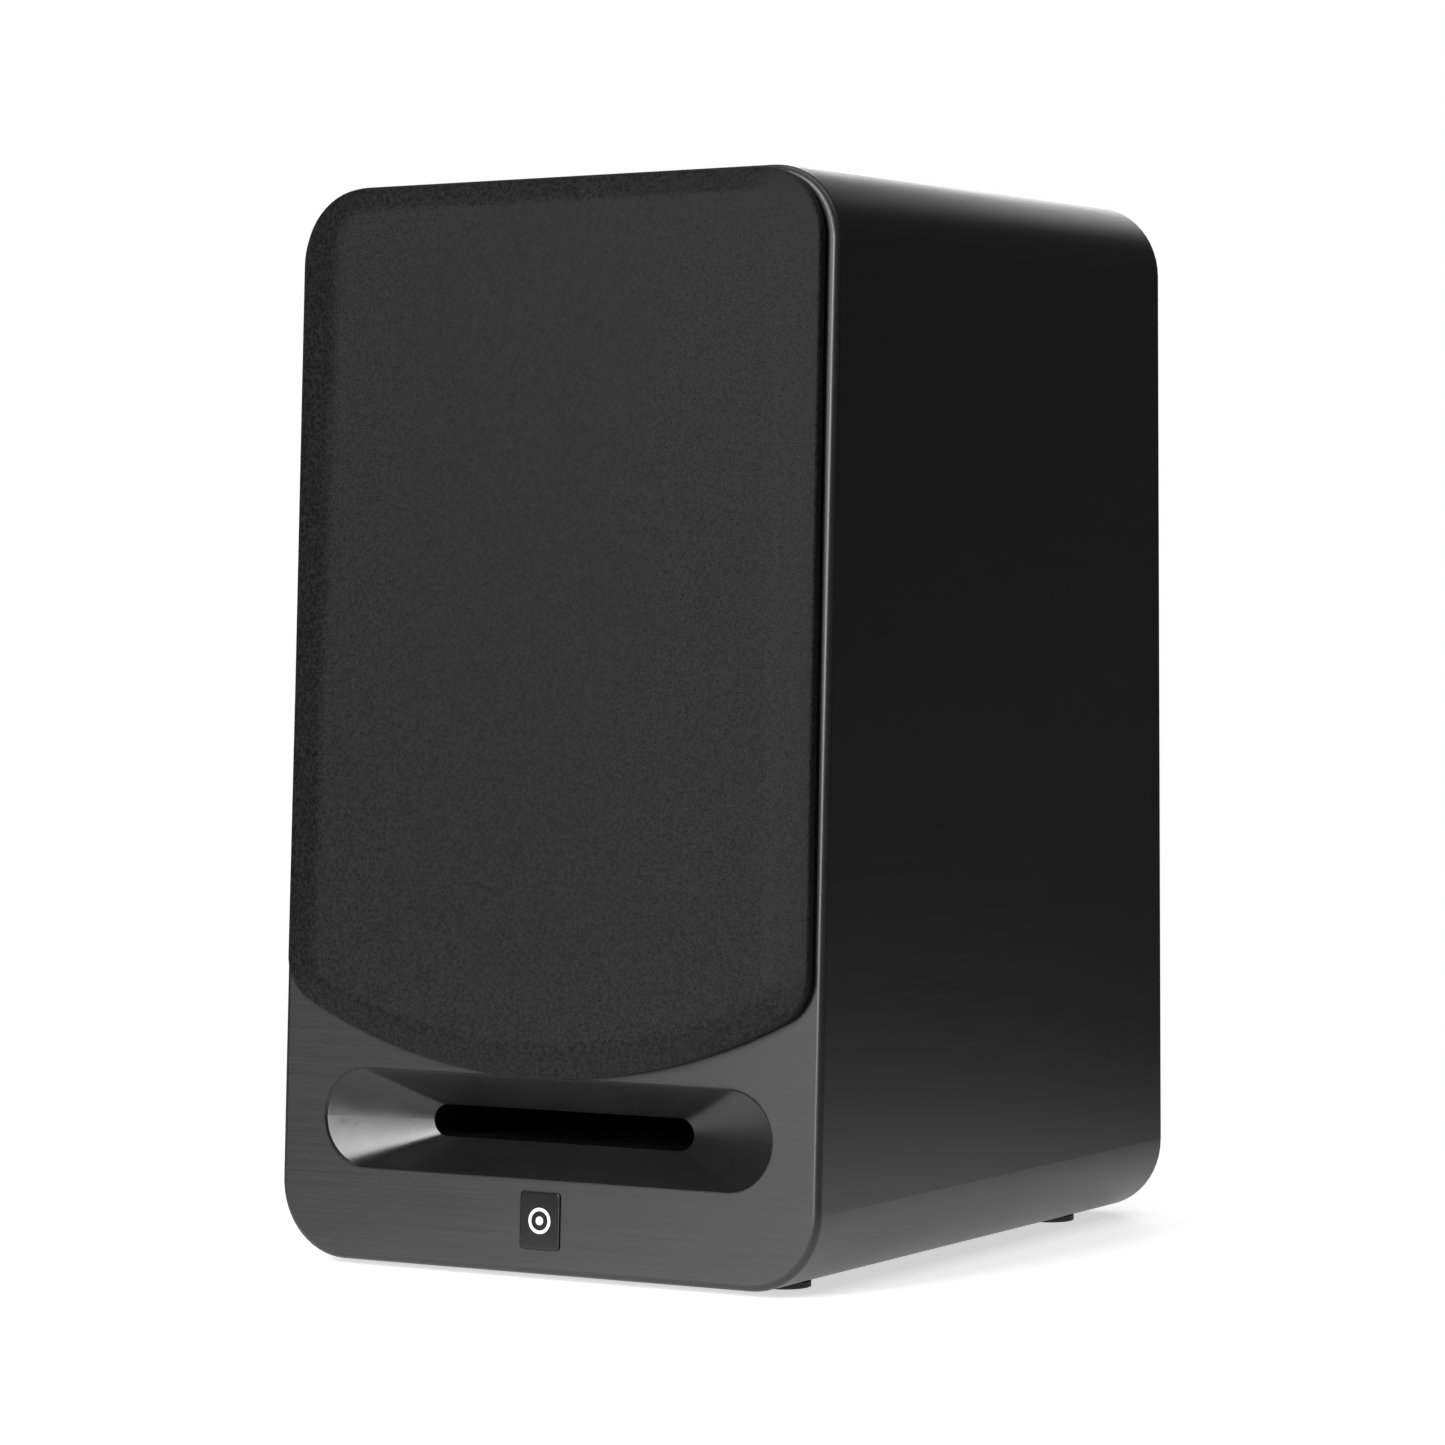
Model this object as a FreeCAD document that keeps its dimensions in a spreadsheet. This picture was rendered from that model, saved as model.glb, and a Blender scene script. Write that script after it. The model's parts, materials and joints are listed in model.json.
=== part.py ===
# A two-way bookshelf speaker as a parametric document, in millimetres.
#
# Row frame: +Z up, the raked front looks along -Y, the origin is under the middle of the speaker
# on the surface that its feet stand on. Everything on the front is drawn in the front's own frame:
# local x to the right, local y up the raked face, local z out of it, with zero on the face.
# Everything on the back is drawn in the back's frame: local z points straight out of the back.
import FreeCAD, Part
import Sketcher
import math
import os
import re

DIMENSIONS = {
    # cabinet
    "cabinet_width": 177.0,
    "cabinet_height": 303.4,
    "cabinet_depth": 209.0,
    "corner_radius": 21.5,
    "rake": 3.0,
    "wall": 15.0,
    "baffle_thickness": 18.0,
    "baffle_edge_round": 1.8,
    "rear_edge_round": 1.5,
    "rear_inset": 4.5,
    "foot_height": 1.6,
    "foot_radius": 7.0,
    "foot_round": 0.4,
    "foot_from_side": 24.0,
    "foot_from_end": 26.0,
    # grille: outline at its foot, outline of its raised ridge, and their levels over the baffle
    "grille_half_top": 85.0,
    "grille_half_bottom": 85.7,
    "grille_top": 303.0,
    "grille_bottom": 54.2,
    "grille_top_round": 19.5,
    "grille_bottom_round": 14.0,
    "grille_bottom_arc": 174.0,
    "ridge_half_top": 72.4,
    "ridge_half_bottom": 75.0,
    "ridge_top": 295.8,
    "ridge_bottom": 63.2,
    "ridge_top_round": 9.5,
    "ridge_bottom_round": 8.0,
    "ridge_bottom_arc": 175.0,
    "grille_gap": 1.2,
    "grille_shoulder": 3.4,
    "grille_height": 6.3,
    "cloth_thickness": 0.5,
    "foot_ring_inset": 2.6,
    "opening_half_width": 68.0,
    "opening_low": 76.0,
    "crossbar_low": 213.0,
    "crossbar_high": 220.0,
    "opening_high": 287.0,
    "opening_round": 9.0,
    "magnet_radius": 4.0,
    "grille_magnet_height": 1.9,
    "baffle_magnet_height": 3.0,
    "magnet_skin": 1.5,
    "magnet_x": 76.5,
    "magnet_low": 104.0,
    "magnet_high": 282.0,
    # slot port
    "port_level": 40.3,
    "port_half_length": 74.0,
    "port_half_height": 14.3,
    "port_lip": 0.3,
    "port_rim": 0.5,
    "slot_half_length": 43.0,
    "slot_half_height": 4.5,
    "flare_depth": 10.0,
    "flare_socket": 5.0,
    "duct_wall": 2.2,
    "duct_length": 120.0,
    # badge
    "badge_level": 15.0,
    "badge_width": 12.8,
    "badge_height": 15.6,
    "badge_round": 1.1,
    "badge_thickness": 1.0,
    "badge_recess": 0.6,
    "badge_gap": 0.3,
    "badge_edge_round": 0.25,
    "emblem_outer": 3.6,
    "emblem_inner": 2.7,
    "emblem_dot": 1.2,
    "emblem_relief": 0.12,
    # woofer, levels measured from the face of the baffle, negative inside
    "woofer_level": 142.0,
    "woofer_radius": 73.0,
    "woofer_hole": 65.5,
    "driver_clearance": 0.4,
    "flange_top": 2.2,
    "flange_thickness": 3.0,
    "basket_throat": 61.5,
    "basket_sheet": 1.8,
    "ledge_depth": 31.0,
    "ledge_inner": 37.0,
    "ledge_outer": 43.0,
    "basket_depth": 43.0,
    "window_half_low": 11.0,
    "window_half_high": 18.0,
    "surround_outer": 65.8,
    "roll_outer": 61.6,
    "roll_inner": 52.2,
    "roll_height": 3.6,
    "surround_inner": 49.8,
    "surround_sheet": 0.6,
    "gasket_outer": 66.4,
    "gasket_inner": 62.0,
    "gasket_height": 1.5,
    "cone_rim": 52.6,
    "cone_sheet": 0.8,
    "cone_turn": 0.3,
    "cone_neck": 13.2,
    "cone_neck_depth": 23.4,
    "cone_curve": 120.0,
    "cap_radius": 17.5,
    "cap_depth": 20.6,
    "cap_rise": 5.5,
    "cap_sheet": 0.6,
    "former_inner": 12.7,
    "former_outer": 13.1,
    "former_end": 52.0,
    "coil_outer": 13.9,
    "coil_length": 12.0,
    "spider_sheet": 0.5,
    "spider_wave": 3.6,
    "spider_wave_count": 6,
    "spider_wave_radius": 2.1,
    "spider_flat": 40.0,
    "plate_hole": 14.4,
    "plate_radius": 42.0,
    "plate_thickness": 6.0,
    "magnet_ring_inner": 20.0,
    "magnet_ring_radius": 40.0,
    "magnet_ring_thickness": 15.0,
    "pole_radius": 12.3,
    "pole_vent": 4.0,
    "yoke_radius": 39.0,
    "yoke_thickness": 6.0,
    "woofer_screw_circle": 69.7,
    "woofer_screw_count": 6,
    "screw_shank": 1.9,
    "screw_head": 3.0,
    "screw_head_height": 1.7,
    "screw_head_round": 0.7,
    "screw_length": 15.0,
    "screw_socket": 1.1,
    "screw_socket_depth": 1.0,
    # tweeter
    "tweeter_level": 257.0,
    "tweeter_radius": 37.5,
    "tweeter_plate": 3.5,
    "tweeter_hole": 31.0,
    "horn_mouth": 26.0,
    "horn_throat": 16.2,
    "horn_depth": 2.6,
    "dome_radius": 12.7,
    "dome_rise": 4.6,
    "dome_sheet": 0.35,
    "dome_seat": 2.7,
    "tweeter_roll": 1.1,
    "tweeter_coil_inner": 12.3,
    "tweeter_coil_end": 9.5,
    "tweeter_pole": 11.95,
    "tweeter_pole_step": 0.5,
    "tweeter_gap_hole": 13.2,
    "tweeter_top_plate": 3.5,
    "tweeter_magnet_inner": 17.0,
    "tweeter_motor_radius": 30.0,
    "tweeter_magnet_thickness": 10.0,
    "tweeter_yoke_plate": 4.0,
    "tweeter_screw_circle": 34.4,
    "tweeter_screw_count": 4,
    # terminal cup and binding posts, levels measured from the very back, negative inside
    "terminal_level": 75.0,
    "terminal_width": 80.0,
    "terminal_height": 66.0,
    "terminal_round": 6.0,
    "terminal_flange": 2.5,
    "cup_width": 60.0,
    "cup_height": 44.0,
    "cup_depth": 20.0,
    "cup_wall": 2.2,
    "cup_round": 5.0,
    "terminal_screw_x": 35.0,
    "terminal_screw_y": 28.0,
    "post_spacing": 19.0,
    "stud_radius": 3.0,
    "banana_radius": 2.05,
    "banana_length": 16.0,
    "stud_tail": 8.0,
    "stud_set_back": 0.6,
    "collar_radius": 7.4,
    "collar_height": 3.0,
    "washer_radius": 5.6,
    "washer_height": 1.2,
    "post_fit": 0.06,
    "nut_radius": 6.9,
    "nut_length": 13.4,
    "nut_round": 1.2,
    "nut_collar": 2.0,
    "nut_flutes": 12,
    "flute_radius": 0.9,
    "flute_outset": 0.3,
    "hex_nut_radius": 5.5,
    "hex_nut_height": 3.5,
    # crossover on the inside of the rear panel
    "board_level": 165.0,
    "board_width": 104.0,
    "board_height": 78.0,
    "board_thickness": 1.6,
    "board_round": 3.0,
    "standoff_radius": 3.4,
    "standoff_height": 6.0,
    "board_hole_x": 46.0,
    "board_hole_y": 33.0,
    "board_screw_shank": 1.5,
    "board_screw_head": 2.8,
    "inductor_x": 26.0,
    "inductor_y": 15.6,
    "woofer_coil_radius": 19.0,
    "woofer_coil_core": 8.0,
    "woofer_coil_height": 15.0,
    "tweeter_coil_radius": 12.0,
    "tweeter_coil_core": 5.0,
    "tweeter_coil_height": 11.0,
    "capacitor_radius": 7.0,
    "capacitor_length": 32.0,
    "capacitor_x": 38.0,
    "capacitor_high": 27.0,
    "capacitor_low": 11.0,
    "resistor_length": 36.0,
    "resistor_side": 9.0,
    "resistor_x": 6.0,
    "resistor_high": 21.0,
    "resistor_low": 6.0,
    "resistor_round": 0.8,
    # leads and wadding
    "lead_radius": 1.1,
    "tag_length": 18.0,
    "tag_width": 4.0,
    "tag_height": 5.0,
    "tag_round": 0.6,
    "tag_lug_x": 5.0,
    "tweeter_tag_below": 18.0,
    "wadding_thickness": 24.0,
    "wadding_width": 128.0,
    "wadding_depth": 120.0,
    "wadding_round": 8.0,
    "wadding_back": 12.0,
    "cut_spare": 10.0,
}

X_AXIS = FreeCAD.Vector(1, 0, 0)
Z_AXIS = FreeCAD.Vector(0, 0, 1)
ON_HORIZONTAL = -1
ON_VERTICAL = -2
TOLERANCE = 1e-4
LEAD_BEND_SHARE = 0.45
LEAD_VOLUME_TOLERANCE = 0.02

# How far the grille's ridge stands out in front of the cabinet's lowest front edge.
REACH = "(grille_height * cos(rake) - ridge_bottom * sin(rake))"
FRONT = f"((-cabinet_depth + {REACH}) / 2)"
BACK = f"((cabinet_depth + {REACH}) / 2)"
FACE_HEIGHT = "(cabinet_height / cos(rake))"

doc = FreeCAD.newDocument("bookshelf_speaker")
dims = doc.addObject("Spreadsheet::Sheet", "dims")
for row, (alias, number) in enumerate(DIMENSIONS.items(), start=1):
    dims.set(f"A{row}", alias)
    dims.set(f"B{row}", str(number))
    dims.setAlias(f"B{row}", alias)
doc.recompute()

SUBPARTS = []


# ---------------------------------------------------------------- expressions and places


def bound(expression):
    """Write an expression so that each dimension in it is read from the sheet."""
    name = re.compile(r"[a-z_]\w*")
    return name.sub(lambda m: f"dims.{m.group()}" if m.group() in DIMENSIONS else m.group(), expression)


def value(expression):
    """The number that an expression gives at present."""
    return float(dims.evalExpression(bound(expression)))


def in_row(x="0", y="0", z="0"):
    """A place in the row frame, above the underside of the cabinet."""
    place = FreeCAD.Vector(value(x), value(y), value(z) + value("foot_height"))
    return FreeCAD.Placement(place, FreeCAD.Rotation())


def on_front(x="0", level="0"):
    """A place on the raked front, level being the distance up the face."""
    rise = value(level)
    rake = math.radians(value("rake"))
    base = FreeCAD.Vector(
        value(x),
        value(FRONT) + rise * math.sin(rake),
        value("foot_height") + rise * math.cos(rake),
    )
    return FreeCAD.Placement(base, FreeCAD.Rotation(X_AXIS, 90 - value("rake")))


def on_back(x="0", level="0"):
    """A place on the upright back, local z pointing out of it."""
    base = FreeCAD.Vector(value(x), value(BACK), value("foot_height") + value(level))
    turn = FreeCAD.Rotation(Z_AXIS, 180).multiply(FreeCAD.Rotation(X_AXIS, 90))
    return FreeCAD.Placement(base, turn)


# ---------------------------------------------------------------- bodies, sketches, features


def new_body(label, place):
    """A body for one sub-part; identical pieces may share it as separate solids."""
    body = doc.addObject("PartDesign::Body", label)
    body.Label = label
    body.AllowCompound = True
    body.Placement = place
    SUBPARTS.append(body)
    return body


def origin_feature(body, role):
    return next(item for item in body.Origin.OriginFeatures if item.Role == role)


def new_sketch(body, name, plane="XY_Plane", lift=None):
    """A sketch on one of the body's origin planes, moved along the plane's normal by lift."""
    sketch = body.newObject("Sketcher::SketchObject", name)
    sketch.AttachmentSupport = [(origin_feature(body, plane), "")]
    sketch.MapMode = "FlatFace"
    if lift:
        sketch.setExpression("AttachmentOffset.Base.z", bound(lift))
    return sketch


def hold(sketch, geometry, vertex, x, y):
    """Tie one point of a sketch to its coordinates."""
    for kind, axis, expression in (("DistanceX", ON_VERTICAL, x), ("DistanceY", ON_HORIZONTAL, y)):
        if expression == "0":
            sketch.addConstraint(Sketcher.Constraint("PointOnObject", geometry, vertex, axis))
            continue
        datum = Sketcher.Constraint(kind, ON_HORIZONTAL, 1, geometry, vertex, value(expression))
        sketch.setExpression(f"Constraints[{sketch.addConstraint(datum)}]", bound(expression))


def arc_between(start, end, radius):
    """The short arc from start to end, bulging to the right of the way when radius is positive."""
    chord = end.sub(start)
    half = chord.Length / 2
    across = FreeCAD.Vector(-chord.y, chord.x, 0).normalize()
    reach = math.sqrt(max(radius * radius - half * half, 0))
    centre = start.add(chord * 0.5).add(across * math.copysign(reach, radius))
    first, last = (start, end) if radius > 0 else (end, start)
    angles = [math.atan2(point.y - centre.y, point.x - centre.x) for point in (first, last)]
    circle = Part.Circle(centre, Z_AXIS, abs(radius))
    return Part.ArcOfCircle(circle, angles[0], angles[1] + (2 * math.pi if angles[1] < angles[0] else 0))


def draw(sketch, path):
    """Draw a closed outline.

    Each corner is (x, y), or (x, y, radius) when an arc runs from it to the next corner; a radius
    that starts with a minus sign makes the arc bulge to the left of the way.
    """
    points = [FreeCAD.Vector(value(corner[0]), value(corner[1]), 0) for corner in path]
    ends = []
    for index, corner in enumerate(path):
        start = points[index]
        end = points[(index + 1) % len(points)]
        if len(corner) == 2:
            geometry = sketch.addGeometry(Part.LineSegment(start, end))
            ends.append((geometry, 1, 2))
            continue
        radius = value(corner[2])
        geometry = sketch.addGeometry(arc_between(start, end, radius))
        ends.append((geometry, 1, 2) if radius > 0 else (geometry, 2, 1))
        size = sketch.addConstraint(Sketcher.Constraint("Radius", geometry, abs(radius)))
        sketch.setExpression(f"Constraints[{size}]", bound(corner[2].lstrip("-")))
    for index, (geometry, first, last) in enumerate(ends):
        following, start_vertex, _ = ends[(index + 1) % len(ends)]
        sketch.addConstraint(Sketcher.Constraint("Coincident", geometry, last, following, start_vertex))
        hold(sketch, geometry, first, path[index][0], path[index][1])


def draw_circle(sketch, radius, x="0", y="0"):
    centre = FreeCAD.Vector(value(x), value(y), 0)
    geometry = sketch.addGeometry(Part.Circle(centre, Z_AXIS, value(radius)))
    size = sketch.addConstraint(Sketcher.Constraint("Radius", geometry, value(radius)))
    sketch.setExpression(f"Constraints[{size}]", bound(radius))
    hold(sketch, geometry, 3, x, y)


def finish_feature(body, feature):
    """Recompute, make the feature the body's tip, and check that it changed the solid."""
    body.Tip = feature
    doc.recompute()
    if feature.Shape.isNull() or not feature.Shape.isValid():
        raise RuntimeError(f"{body.Label}: {feature.Name} has no valid shape")
    return feature


def pad(body, sketch, length, reverse=False):
    feature = body.newObject("PartDesign::Pad", "Pad")
    feature.Profile = sketch
    feature.Reversed = reverse
    feature.setExpression("Length", bound(length))
    return finish_feature(body, feature)


def pocket(body, sketch, length, reverse=False, symmetric=False):
    """Cut into the solid, and raise if nothing is cut away."""
    before = body.Tip.Shape.Volume
    feature = body.newObject("PartDesign::Pocket", "Pocket")
    feature.Profile = sketch
    feature.Reversed = reverse
    if symmetric:
        feature.SideType = "Symmetric"
    feature.setExpression("Length", bound(length))
    finish_feature(body, feature)
    if feature.Shape.Volume > before - TOLERANCE:
        raise RuntimeError(f"{body.Label}: a pocket cuts nothing")
    return feature


def loft(body, kind, sketches, ruled=True):
    feature = body.newObject(f"PartDesign::{kind}Loft", kind)
    feature.Profile = sketches[0]
    feature.Sections = sketches[1:]
    feature.Ruled = ruled
    return finish_feature(body, feature)


def revolve(body, path, cut=False):
    """Turn an outline of (radius, height) corners about the body's z axis."""
    before = body.Tip.Shape.Volume if cut else 0
    sketch = new_sketch(body, "Profile", "XZ_Plane")
    draw(sketch, path)
    feature = body.newObject("PartDesign::Groove" if cut else "PartDesign::Revolution", "Turned")
    feature.Profile = sketch
    feature.ReferenceAxis = (sketch, ["V_Axis"])
    feature.Angle = 360
    finish_feature(body, feature)
    if cut and feature.Shape.Volume > before - TOLERANCE:
        raise RuntimeError(f"{body.Label}: a groove cuts nothing")
    return feature


def around(body, feature, count):
    """Repeat a feature evenly about the body's z axis."""
    pattern = body.newObject("PartDesign::PolarPattern", "Around")
    pattern.Originals = [feature]
    pattern.Axis = (origin_feature(body, "Z_Axis"), [""])
    pattern.Angle = 360
    pattern.setExpression("Occurrences", bound(count))
    return finish_feature(body, pattern)


def round_edges(body, radius, chosen):
    """Round the edges of the tip whose every vertex satisfies the test."""
    base = body.Tip
    names = []
    for index, edge in enumerate(base.Shape.Edges, start=1):
        if all(chosen(vertex.Point) for vertex in edge.Vertexes):
            names.append(f"Edge{index}")
    feature = body.newObject("PartDesign::Fillet", "Fillet")
    feature.Base = (base, names)
    feature.setExpression("Radius", bound(radius))
    return finish_feature(body, feature)


# ---------------------------------------------------------------- outlines


def rounded_rectangle(left, right, low, high, radius):
    """Counter-clockwise outline with four equal corner arcs."""
    return [
        (f"{left} + {radius}", low),
        (f"{right} - {radius}", low, radius),
        (right, f"{low} + {radius}"),
        (right, f"{high} - {radius}", radius),
        (f"{right} - {radius}", high),
        (f"{left} + {radius}", high, radius),
        (left, f"{high} - {radius}"),
        (left, f"{low} + {radius}", radius),
    ]


def centred_rectangle(width, height, radius):
    x, y = f"({width}) / 2", f"({height}) / 2"
    return rounded_rectangle(f"-{x}", x, f"-{y}", y, radius)


def at_level(level, path):
    """An outline lifted up the face it is drawn on."""
    return [(x, f"{level} + {y}", *arc) for x, y, *arc in path]


def stadium(half_length, half_height):
    """A slot with round ends, each end two quarter arcs."""
    straight = f"({half_length} - ({half_height}))"
    return [
        (f"-{straight}", f"-({half_height})"),
        (straight, f"-({half_height})", half_height),
        (half_length, "0", half_height),
        (straight, half_height),
        (f"-{straight}", half_height, half_height),
        (f"-({half_length})", "0", half_height),
    ]


def grille_outline(edge, inset):
    """The grille's outline: round top corners, and a broad arc for its lower side.

    edge is "grille" for the foot of the bevel or "ridge" for its top; inset moves it inwards.
    """
    half_top = f"({edge}_half_top - {inset})"
    half_bottom = f"({edge}_half_bottom - {inset})"
    top = f"({edge}_top - {inset})"
    top_round = f"({edge}_top_round - {inset})"
    bottom_round = f"({edge}_bottom_round - {inset})"
    arc = f"({edge}_bottom_arc - {inset})"
    # centre of the lower corner, seen from the centre of the broad arc
    aside = f"({half_bottom} - {bottom_round})"
    below = f"sqrt(({arc} - {bottom_round})^2 - {aside}^2)"
    share = f"({arc} / ({arc} - {bottom_round}))"
    arc_centre = f"({edge}_bottom + {edge}_bottom_arc)"
    corner = f"({arc_centre} - {below})"
    tangent_x = f"({aside} * {share})"
    tangent_y = f"({arc_centre} - {below} * {share})"
    return [
        (tangent_x, tangent_y, bottom_round),
        (half_bottom, corner),
        (half_top, f"{top} - {top_round}", top_round),
        (f"{half_top} - {top_round}", top),
        (f"-({half_top} - {top_round})", top, top_round),
        (f"-{half_top}", f"{top} - {top_round}"),
        (f"-{half_bottom}", corner, bottom_round),
        (f"-{tangent_x}", tangent_y, arc),
    ]


def four_corners(x, y):
    return [(f"{a}({x})", f"{b}({y})") for a in ("", "-") for b in ("", "-")]


# ---------------------------------------------------------------- simple kinds of piece


def ring(label, place, outer, inner, low, high):
    """A flat ring or tube between two levels of its own z axis."""
    body = new_body(label, place)
    sketch = new_sketch(body, "Ring", lift=low)
    draw_circle(sketch, outer)
    draw_circle(sketch, inner)
    pad(body, sketch, f"({high}) - ({low})")
    return body


def discs(label, place, radius, low, height, centres):
    """Identical round pieces, one solid at each centre."""
    body = new_body(label, place)
    sketch = new_sketch(body, "Discs", lift=low)
    for x, y in centres:
        draw_circle(sketch, radius, x, y)
    pad(body, sketch, height)
    return body


def drill(body, radius, centres, start, depth, reverse=False):
    """Round holes at several centres, from one level down the body's z axis."""
    sketch = new_sketch(body, "Holes", lift=start)
    for x, y in centres:
        draw_circle(sketch, radius, x, y)
    return pocket(body, sketch, depth, reverse)


# ---------------------------------------------------------------- cabinet


def cabinet_outline(inset, low, high):
    half = f"(cabinet_width / 2 - {inset})"
    bottom, top = f"{low} + {inset}", f"{high} - {inset}"
    return rounded_rectangle(f"-{half}", half, bottom, top, f"(corner_radius - {inset})")


def make_cabinet_shell():
    """The wrap of top, bottom and sides, cut off behind the raked baffle."""
    body = new_body("cabinet_shell", in_row(y=FRONT))
    outside = new_sketch(body, "Outside", "XZ_Plane")
    draw(outside, cabinet_outline("0", "0", "cabinet_height"))
    pad(body, outside, "cabinet_depth", reverse=True)
    rear = value("cabinet_depth")
    round_edges(body, "rear_edge_round", lambda point: abs(point.y - rear) < TOLERANCE)
    cut = new_sketch(body, "Rake", "YZ_Plane")
    foot = "(baffle_thickness / cos(rake))"
    draw(
        cut,
        [
            ("-cut_spare", "-cut_spare"),
            (f"{foot} - cut_spare * tan(rake)", "-cut_spare"),
            (f"{foot} + (cabinet_height + cut_spare) * tan(rake)", "cabinet_height + cut_spare"),
            ("-cut_spare", "cabinet_height + cut_spare"),
        ],
    )
    pocket(body, cut, "cabinet_width * 2", symmetric=True)
    inside = new_sketch(body, "Inside", "XZ_Plane")
    draw(inside, cabinet_outline("wall", "0", "cabinet_height"))
    pocket(body, inside, "cabinet_depth * 2", symmetric=True)


def driver_screws(driver):
    """Centres of the screws of a driver, in the front frame."""
    step = f"360 / {driver}_screw_count"
    return [
        (
            f"{driver}_screw_circle * cos({step} * {turn} + {step} / 2)",
            f"{driver}_level + {driver}_screw_circle * sin({step} * {turn} + {step} / 2)",
        )
        for turn in range(DIMENSIONS[f"{driver}_screw_count"])
    ]


def cup_outline():
    """The outside of the terminal cup where it passes through the back."""
    width, height = "cup_width + 2 * cup_wall", "cup_height + 2 * cup_wall"
    return centred_rectangle(width, height, "(cup_round + cup_wall)")


def badge_outline(gap):
    """The badge's outline, grown on every side by gap."""
    width, height = f"badge_width + 2 * {gap}", f"badge_height + 2 * {gap}"
    return centred_rectangle(width, height, f"(badge_round + {gap})")


def magnets_at():
    return [(f"{sign}magnet_x", level) for sign in ("", "-") for level in ("magnet_low", "magnet_high")]


def make_front_baffle():
    """The raked front board, its sides running straight back in line with the shell."""
    body = new_body("front_baffle", on_front())
    outline = new_sketch(body, "Outline")
    draw(outline, cabinet_outline("0", "0", FACE_HEIGHT))
    board = body.newObject("PartDesign::Pad", "Board")
    board.Profile = outline
    board.UseCustomVector = True
    rake = math.radians(value("rake"))
    board.Direction = FreeCAD.Vector(0, math.sin(rake), -math.cos(rake))
    board.AlongSketchNormal = True
    board.setExpression("Length", bound("baffle_thickness"))
    finish_feature(body, board)
    round_edges(body, "baffle_edge_round", lambda point: abs(point.z) < TOLERANCE)

    openings = new_sketch(body, "Openings")
    draw_circle(openings, "woofer_hole", y="woofer_level")
    draw_circle(openings, "tweeter_hole + driver_clearance", y="tweeter_level")
    pocket(body, openings, "baffle_thickness * 2", symmetric=True)
    slot = new_sketch(body, "PortHole")
    draw(slot, at_level("port_level", stadium("port_half_length", "port_half_height")))
    pocket(body, slot, "baffle_thickness * 2", symmetric=True)
    recess = new_sketch(body, "BadgeRecess")
    draw(recess, at_level("badge_level", badge_outline("badge_gap")))
    pocket(body, recess, "badge_recess")
    flange_depth = "flange_top + flange_thickness"
    drill(body, "woofer_radius + driver_clearance", [("0", "woofer_level")], "0", flange_depth)
    drill(body, "tweeter_radius + driver_clearance", [("0", "tweeter_level")], "0", "tweeter_plate")
    drill(body, "screw_shank", driver_screws("woofer"), "0", "flange_top + screw_length")
    drill(body, "screw_shank", driver_screws("tweeter"), "0", "screw_length")
    drill(body, "magnet_radius", magnets_at(), "-magnet_skin", "baffle_thickness")


def make_rear_panel():
    """The board that closes the back, set in a little, with its cut-out and screw holes."""
    body = new_body("rear_panel", on_back())
    outline = new_sketch(body, "Outline", lift="-rear_inset - wall")
    draw(outline, cabinet_outline("wall", "0", "cabinet_height"))
    pad(body, outline, "wall")
    cutout = new_sketch(body, "CupHole", lift="0")
    draw(cutout, at_level("terminal_level", cup_outline()))
    pocket(body, cutout, "2 * (rear_inset + wall)", symmetric=True)
    screws = [(x, f"terminal_level + {y}") for x, y in four_corners("terminal_screw_x", "terminal_screw_y")]
    drill(body, "screw_shank", screws, "-rear_inset", "screw_length - terminal_flange")
    board = [(x, f"board_level + {y}") for x, y in four_corners("board_hole_x", "board_hole_y")]
    bite = "screw_length - standoff_height"
    drill(body, "board_screw_shank", board, "-rear_inset - wall", bite, reverse=True)


def make_feet():
    x = "cabinet_width / 2 - foot_from_side"
    y = "cabinet_depth / 2 - foot_from_end"
    centres = four_corners(x, y)
    body = discs("rubber_feet", in_row(z="-foot_height"), "foot_radius", "0", "foot_height", centres)
    round_edges(body, "foot_round", lambda point: abs(point.z) < TOLERANCE)


# ---------------------------------------------------------------- grille


def add_grille_form(body, inset, cut=False):
    """Shoulder and bevel of the grille, moved inwards and down by inset."""
    wall_sketch = new_sketch(body, "Shoulder", lift="grille_gap")
    draw(wall_sketch, grille_outline("grille", inset))
    length = f"grille_shoulder - grille_gap - {inset} / 2"
    if cut:
        pocket(body, wall_sketch, length, reverse=True)
    else:
        pad(body, wall_sketch, length)
    foot = new_sketch(body, "BevelFoot", lift=f"grille_shoulder - {inset} / 2")
    draw(foot, grille_outline("grille", inset))
    top = new_sketch(body, "BevelTop", lift=f"grille_height - {inset}")
    draw(top, grille_outline("ridge", inset))
    loft(body, "Subtractive" if cut else "Additive", [foot, top])


def make_grille_cloth():
    """The stretched cloth: flat over the openings, down the bevel and round the shoulder."""
    body = new_body("grille_cloth", on_front())
    add_grille_form(body, "0")
    add_grille_form(body, "cloth_thickness", cut=True)


def make_grille_frame():
    """The moulded frame under the cloth, with a crossbar between the two drivers."""
    body = new_body("grille_frame", on_front())
    add_grille_form(body, "cloth_thickness")
    foot = new_sketch(body, "FootRing")
    draw(foot, grille_outline("grille", "foot_ring_inset"))
    pad(body, foot, "grille_gap")
    for low, high in (("opening_low", "crossbar_low"), ("crossbar_high", "opening_high")):
        opening = new_sketch(body, "Opening")
        half = "opening_half_width"
        draw(opening, rounded_rectangle(f"-{half}", half, low, high, "opening_round"))
        pocket(body, opening, "grille_height", reverse=True)
    drill(body, "magnet_radius", magnets_at(), "0", "grille_magnet_height", reverse=True)


def make_magnets():
    discs("grille_magnets", on_front(), "magnet_radius", "0", "grille_magnet_height", magnets_at())
    low = "-magnet_skin - baffle_magnet_height"
    discs("baffle_magnets", on_front(), "magnet_radius", low, "baffle_magnet_height", magnets_at())


# ---------------------------------------------------------------- port and badge


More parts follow.
